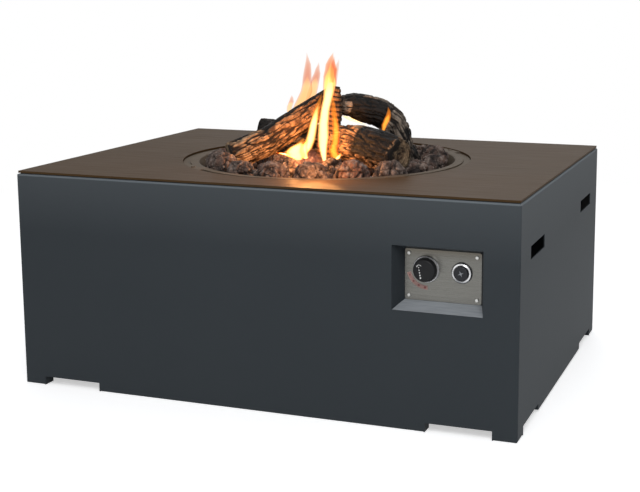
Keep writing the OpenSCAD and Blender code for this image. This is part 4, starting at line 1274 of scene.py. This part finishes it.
FLAMES = (
    Flame("flame_main", Blaze.TALL, -75, (
        (23, 455, 4), (21, 471, 7), (20, 488, 9.9), (21, 506, 12), (21, 535, 11), (25, 565, 9.8),
        (32, 591, 10.1), (35, 606, 11.3), (37, 622, 13.2), (37, 637, 12.9), (40, 652, 11.9), (39, 663, 9.5),
        (40, 674, 5.4), (42, 681, 2.4), (45, 688, 0.4),
    )),
    Flame("flame_tip_middle", Blaze.TIP, -84, (
        (44, 625, 5), (46, 638, 6.4), (48, 653, 6.1), (48, 664, 4), (50, 673, 2.2), (52, 681, 0.4),
    )),
    Flame("flame_tip_right", Blaze.TIP, -68, (
        (41, 615, 4.6), (44, 625, 5.2), (47, 637, 4.5), (50, 652, 4), (52, 663, 3), (54, 669, 1.6),
        (55, 675, 0.4),
    )),
    Flame("flame_left", Blaze.LOW, -85, (
        (-38, 459, 4), (-27, 467, 10), (-14, 482, 10.5), (-6, 500, 9.4), (-1, 518, 8.5), (3, 536, 7.6),
        (6, 550, 6.4), (10, 565, 5.5), (15, 580, 3.8), (19, 592, 2), (22, 602, 0.4),
    )),
    Flame("flame_right", Blaze.THIN, -80, (
        (53, 457, 3), (50, 467, 9.3), (46, 478, 9.4), (50, 496, 8), (52, 514, 7), (52, 531, 6.4),
        (49, 549, 5.8), (47, 566, 4.9), (46, 580, 3.2), (44, 593, 1.5), (43, 602, 0.4),
    )),
    Flame("flame_lick", Blaze.LOW, -86, (
        (48, 458, 3), (57, 464, 5), (63, 472, 2.6), (67, 479, 0.4),
    )),
    Flame("flame_low", Blaze.LOW, -100, (
        (-27, 459, 7), (-31, 466, 17.5), (-37, 475, 19), (-31, 485, 13.2), (-23, 493, 8.4), (-19, 500, 4.4),
        (-15, 506, 0.5),
    )),
    Flame("flame_low_right", Blaze.LOW, -92, (
        (-14, 462, 6), (-19, 474, 9), (-18, 486, 7), (-12, 497, 4), (-8, 506, 0.4),
    )),
    Flame("flame_base", Blaze.EMBER, -130, (
        (4, 442, 14), (6, 450, 34), (8, 460, 38), (10, 470, 30), (12, 482, 14), (14, 492, 3),
    )),
    Flame("flame_low_left", Blaze.LOW, -104, (
        (-34, 464, 4.7), (-48, 469, 6.4), (-60, 471, 4.4), (-70, 472, 2), (-78, 472, 0.4),
    )),
    Flame("flame_back", Blaze.SMOKY, 50, (
        (-98, 545, 8), (-89, 560, 10), (-78, 575, 12.9), (-71, 592, 12.1), (-69, 608, 10), (-68, 624, 8.9),
        (-67, 640, 7.7), (-66, 653, 5.8), (-67, 663, 3), (-68, 671, 1.6), (-69, 679, 0.4),
    )),
    Flame("flame_back_right", Blaze.SMOKY, 62, (
        (-72, 555, 9), (-63, 578, 10.7), (-60, 593, 9.4), (-56, 607, 8.7), (-52, 622, 8.4), (-49, 632, 6.8),
        (-48, 642, 4), (-46, 650, 2), (-45, 657, 0.4),
    )),
    Flame("flame_back_left", Blaze.SMOKY, 46, (
        (-112, 545, 5), (-110, 558, 5.5), (-106, 568, 4.9), (-105, 576, 3), (-105, 583, 0.4),
    )),
    Flame("flame_small", Blaze.THIN, 30, (
        (120, 512, 3), (123, 526, 6), (128, 536, 6.6), (132, 547, 5.1), (133, 556, 3), (131, 566, 0.4),
    )),
    Flame("flame_gap", Blaze.LOW, 20, (
        (84, 524, 0.9), (66, 530, 4.2), (51, 535, 7), (40, 540, 6), (30, 543, 2.4), (25, 544, 0.5),
    )),
)


@dataclass(frozen=True)
class Lamp:
    """A square lamp of the studio, or a round one among the logs.

    Attributes:
        name: Name of the lamp.
        place: Where it hangs, in metres.
        size: A square lamp's side or a round one's radius, in metres.
        power: Its power, in watts.
        aim: Where a square lamp points, in metres, or nothing for a round one.
        colour: Its colour, linear.
    """

    name: str
    place: Point
    size: float
    power: float
    aim: Point | None = None
    colour: Colour = WHITE

    def build(self) -> None:
        """Hangs the lamp in the scene."""
        light = bpy.data.lights.new(self.name, "AREA" if self.aim else "POINT")
        light.energy = self.power
        light.color = self.colour
        lamp = bpy.data.objects.new(self.name, light)
        lamp.location = self.place
        if self.aim:
            light.size = self.size
            lamp.rotation_euler = (Vector(self.aim) - Vector(self.place)).to_track_quat("-Z", "Y").to_euler()
        else:
            light.shadow_soft_size = self.size
        bpy.context.scene.collection.objects.link(lamp)


FIRELIGHT: Colour = (1.0, 0.41, 0.12)


@dataclass
class Fire:
    """The staged flames, which aren't part of the object, and the glow they throw.

    Attributes:
        flames: The tongues of fire.
        glows: The lamps among them.
        sides: Corners of a tongue's cross-section.
        rings: Cross-sections from one point of a spine to the next.
        least: Least half width, in millimetres.
        flat: Share of the half width that counts as thickness.
        stout: Thickness that every tongue adds, in millimetres.
        thin: Half width below which it adds less, in millimetres.
        sway: How uneven a tongue's outline is.
    """

    flames: Sequence[Flame]
    glows: Sequence[Lamp] = (
        Lamp("glow_middle", (0.01, -0.13, 0.525), 0.03, 0.9, colour=FIRELIGHT),
        Lamp("glow_low", (0.0, -0.14, 0.478), 0.03, 1.1, colour=FIRELIGHT),
        Lamp("glow_back", (-0.08, 0.07, 0.6), 0.04, 0.3, colour=FIRELIGHT),
        Lamp("glow_rim", (0.105, -0.318, 0.486), 0.055, 1.5, colour=FIRELIGHT),
    )
    sides: int = 16
    rings: int = 5
    least: float = 0.2
    flat: float = 0.55
    stout: float = 3.5
    thin: float = 3.0
    sway: float = 0.1

    def _gas(self, blaze: Blaze, shell: Shell) -> Material:
        """Clear volume that gives off and takes in light.

        Args:
            blaze: Kind of flame.
            shell: One of its shells.

        Returns:
            The shell's material, built on first use.
        """
        name = f"gas_{blaze.name.lower()}_{shell.name}"
        if name in bpy.data.materials:
            return bpy.data.materials[name]
        graph = Graph(name)
        peak, thick = max(shell.light), max(shell.smoke)
        light = tuple(c / peak for c in shell.light)
        clear = tuple(1.0 - c / thick for c in shell.smoke)
        glow = graph.node("ShaderNodeEmission", {"Color": light, "Strength": peak})
        haze = graph.node("ShaderNodeVolumeAbsorption", {"Color": clear, "Density": thick})
        graph.tree.nodes.remove(graph.shader)
        graph.end("Material Output", "Volume", graph.add(glow, haze).outputs[0])
        return graph.material

    def _loop(self, flame: Flame, shell: Shell, rise: float) -> list[Point]:
        """One cross-section of a shell.

        Args:
            flame: The tongue of fire.
            shell: Which of its shells.
            rise: How far up the shell, from 0 to 1.

        Returns:
            The corners, in metres.
        """
        joints = len(flame.spine) - 1
        t = shell.top * rise
        at = min(int(t * joints), joints - 1)
        x, z, half = (a + (b - a) * (t * joints - at) for a, b in zip(flame.spine[at], flame.spine[at + 1]))
        taper = step(1.0, 0.62, rise) if shell.top < 1.0 else 1.0
        half = max(self.least, half * shell.girth * taper)
        added = self.stout * shell.girth * min(1.0, half / self.thin)
        thick = max(self.least, (self.flat * half + added) * taper)
        corners = []
        for k in range(self.sides):
            across, deep = math.cos(math.tau * k / self.sides), math.sin(math.tau * k / self.sides)
            sway = 1.0 + self.sway * noise.noise(Vector((across, deep, 5.0 * t)))
            corners.append(((x + half * sway * across) * MM, (flame.depth + thick * sway * deep) * MM, z * MM))
        return corners

    def _tongue(self, flame: Flame, shell: Shell) -> Piece:
        """Lofts one shell along the flame's spine.

        Args:
            flame: The tongue of fire.
            shell: Which of its shells.

        Returns:
            The shell, as scenery that only the camera sees.
        """
        bm = bmesh.new()
        rings = self.rings * (len(flame.spine) - 1)
        loops = [[bm.verts.new(corner) for corner in self._loop(flame, shell, i / rings)] for i in range(rings + 1)]
        for low, high in zip(loops, loops[1:]):
            for k in range(self.sides):
                following = (k + 1) % self.sides
                bm.faces.new((low[k], low[following], high[following], high[k]))
        bm.faces.new(list(reversed(loops[0])))
        bm.faces.new(loops[-1])
        bmesh.ops.recalc_face_normals(bm, faces=bm.faces)
        piece = to_object(f"{flame.name}_{shell.name}", bm, self._gas(flame.blaze, shell))
        for kind in ("shadow", "diffuse", "glossy", "transmission"):
            setattr(piece, f"visible_{kind}", False)
        return piece

    def build(self) -> None:
        """Builds the tongues and the warm lamps among them."""
        for flame in self.flames:
            for shell in flame.blaze.value:
                LOG.info("%s staged", self._tongue(flame, shell).name)
        for glow in self.glows:
            glow.build()


@dataclass(frozen=True)
class Camera:
    """The photograph's camera.

    Attributes:
        place: Where it stands, in metres.
        dip: How far it looks down, in degrees.
        turn: How far it turns to the left, in degrees.
        lens: Focal length, in millimetres.
        sensor: Width of the sensor, in millimetres.
        shift: How far the lens is moved sideways and up, as shares of the picture's width.
    """

    place: Point = (1.0135, -2.5015, 0.837)
    dip: float = 9.275
    turn: float = 19.409
    lens: float = 69.235
    sensor: float = 36.0
    shift: Pair = (-0.1, -0.1)

    def build(self) -> None:
        """Builds the camera and makes it the scene's own."""
        camera = bpy.data.cameras.new("camera")
        camera.lens = self.lens
        camera.sensor_width = self.sensor
        camera.shift_x, camera.shift_y = self.shift
        eye = bpy.data.objects.new("camera", camera)
        eye.location = self.place
        eye.rotation_euler = (math.radians(90.0 - self.dip), 0.0, math.radians(self.turn))
        bpy.context.scene.collection.objects.link(eye)
        bpy.context.scene.camera = eye


@dataclass(frozen=True)
class Studio:
    """Pale floor, pale world, soft lamps and the camera.

    Attributes:
        lamps: The lamps.
        camera: The camera.
        sky: Colour of the world's light, linear.
        sky_strength: Its strength.
        floor: Colour of the floor, linear.
        speckle: Darker blotches on it.
        floor_rough: Its roughness.
        floor_half: Half the floor's width, in metres.
        floor_lift: Light that the floor adds where it is seen.
        fade: Distances at which the floor starts to pass into white and is white, in metres.
    """

    lamps: Sequence[Lamp] = (
        Lamp("key", (1.0, -2.3, 2.1), 1.5, 40.0, aim=(0.1, 0.0, 0.25)),
        Lamp("fill", (-2.6, -3.0, 2.0), 2.6, 9.0, aim=(0.0, 0.0, 0.25)),
        Lamp("side", (3.4, 0.2, 1.8), 1.6, 2.0, aim=(0.4, 0.0, 0.25)),
        Lamp("back", (-0.6, 3.2, 2.8), 2.6, 40.0, aim=(0.0, 0.0, 0.3)),
    )
    camera: Camera = Camera()
    sky: Colour = (0.92, 0.95, 1.0)
    sky_strength: float = 0.42
    floor: Colour = (0.86, 0.86, 0.86)
    speckle: Fleck = Fleck(40.0, 3.0, SOFT, (0.82, 0.82, 0.82), 0.3)
    floor_rough: float = 0.8
    floor_half: float = 12.0
    floor_lift: float = 0.52
    fade: Pair = (0.9, 2.6)

    def build(self) -> None:
        """Builds the studio."""
        self._world()
        self._floor()
        for lamp in self.lamps:
            lamp.build()
        self.camera.build()
        bpy.context.scene.view_settings.view_transform = "Standard"

    def _world(self) -> None:
        """Soft pale light, and plain white where it is seen."""
        world = bpy.data.worlds.new("pale_studio")
        world.use_nodes = True
        bpy.context.scene.world = world
        tree = Tree(world.node_tree)
        light = tree.tree.nodes["Background"]
        tree.feed(light.inputs["Color"], self.sky)
        tree.feed(light.inputs["Strength"], self.sky_strength)
        white = tree.node("ShaderNodeBackground", {"Color": WHITE})
        tree.end("World Output", "Surface", tree.blend(tree.seen(), light, white))

    def _floor(self) -> None:
        """Pale floor with the table's soft shadow, which passes into the white background."""
        bm = bmesh.new()
        bmesh.ops.create_grid(bm, x_segments=1, y_segments=1, size=self.floor_half)
        graph = Graph("pale_floor")
        graph.shade(graph.fleck(self.floor, self.speckle), self.floor_rough)
        seen = graph.seen()
        lift = graph.node("ShaderNodeEmission", {"Strength": graph.math("MULTIPLY", seen, self.floor_lift)})
        far = graph.math("MULTIPLY", seen, graph.remap(graph.reach(), self.fade))
        white = graph.node("ShaderNodeEmission")
        graph.end("Material Output", "Surface", graph.blend(far, graph.add(graph.shader, lift), white))
        floor = to_object("floor", bm, graph.material, smooth=False)


BEDS = (StoneBed("lava_stones_outer", seed=11), StoneBed("lava_stones_inner", seed=12))

LOGS = (
    BarkLog(
        "log_long",
        ((-184, -108, 460), (-118, -56, 490), (-52, -6, 542), (2, 34, 584)),
        seed=1,
        grooves=14.0,
        depth=5.5 * MM,
        firelight_ends=(0.0, 0.95),
        char=(
            Zone(0.3, 1.1, (-0.3, 0.4, 0.95), 0.85),
            Zone(0.3, 0.42, (0.2, -1.0, -0.3), 0.62),
            Zone(0.0, 0.35, (-0.4, 0.7, 0.5), 0.6),
            Zone(-0.1, 0.02, weight=0.8),
        ),
    ),
    BarkLog(
        "log_right",
        ((44, -34, 492), (100, -62, 492), (160, -94, 486), (208, -120, 479)),
        seed=2,
        grooves=15.0,
        firelight_ends=(0.75, 0.05),
        char=(
            Zone(0.42, 0.95, (0.1, -0.45, 1.0), 1.3),
            Zone(0.5, 0.8, (0.2, -1.0, 0.5), 0.6),
            Zone(0.0, 0.4, UP, 0.35),
            Zone(0.97, 1.1, weight=0.75),
        ),
    ),
    BarkLog(
        "log_bent",
        (
            (16, 38, 566), (45, 47, 564), (73, 54, 557), (101, 64, 548), (126, 76, 528),
            (139, 88, 495), (141, 96, 468), (156, 116, 434),
        ),
        seed=3,
        grooves=11.0,
        firelight_ends=(0.7, 0.2),
        char=(
            Zone(0.12, 0.46, (0.1, -1.0, -0.45), 1.4),
            Zone(-0.1, 0.22, UP, 0.7),
            Zone(0.62, 1.1, (1.0, 0.7, 0.0), 0.6),
        ),
        ash=(Zone(0.0, 1.1, weight=0.9),),
    ),
    BarkLog(
        "log_back",
        ((-208, 96, 492), (-140, 104, 486), (-60, 114, 478), (20, 124, 470)),
        seed=4,
        firelight_ends=(0.3, 0.6),
        char=(Zone(-0.1, 0.3, weight=0.8), Zone(0.0, 1.1, UP, 0.7)),
        ash=(Zone(-0.1, 1.1, weight=0.8),),
    ),
    BarkLog(
        "log_upright",
        ((0, -11, 430), (0, -11, 476), (12, -5, 546), (18, 2, 610)),
        seed=5,
        grooves=8.0,
        depth=2.4 * MM,
        across=96.0,
        firelight_ends=(1.0, 0.9),
        char=(Zone(0.93, 1.1, weight=0.7),),
    ),
)


def main() -> None:
    """Loads the frame and builds the looks, piece by piece."""
    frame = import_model()
    nodes = frame["nodes"]
    library = MaterialLibrary(FINISHES)
    library.dress(nodes, frame["record"])
    for bed in BEDS:
        LOG.info("%s", bed.build(nodes[bed.node], library).name)
    for log in LOGS:
        LOG.info("%s", log.build(nodes[log.node], library).name)
    slots = {subpart["node"]: subpart["material_slot"] for subpart in frame["record"]["subparts"]}
    for spring in SPRINGS:
        LOG.info("%s", spring.build(nodes[spring.node], library, slots[spring.node]).name)
    for mark in DialMarks(library).build():
        LOG.info("%s", mark.name)
    Fire(FLAMES).build()
    Studio().build()


if __name__ == "__main__":
    logging.basicConfig(level=logging.INFO, format="%(message)s")
    main()
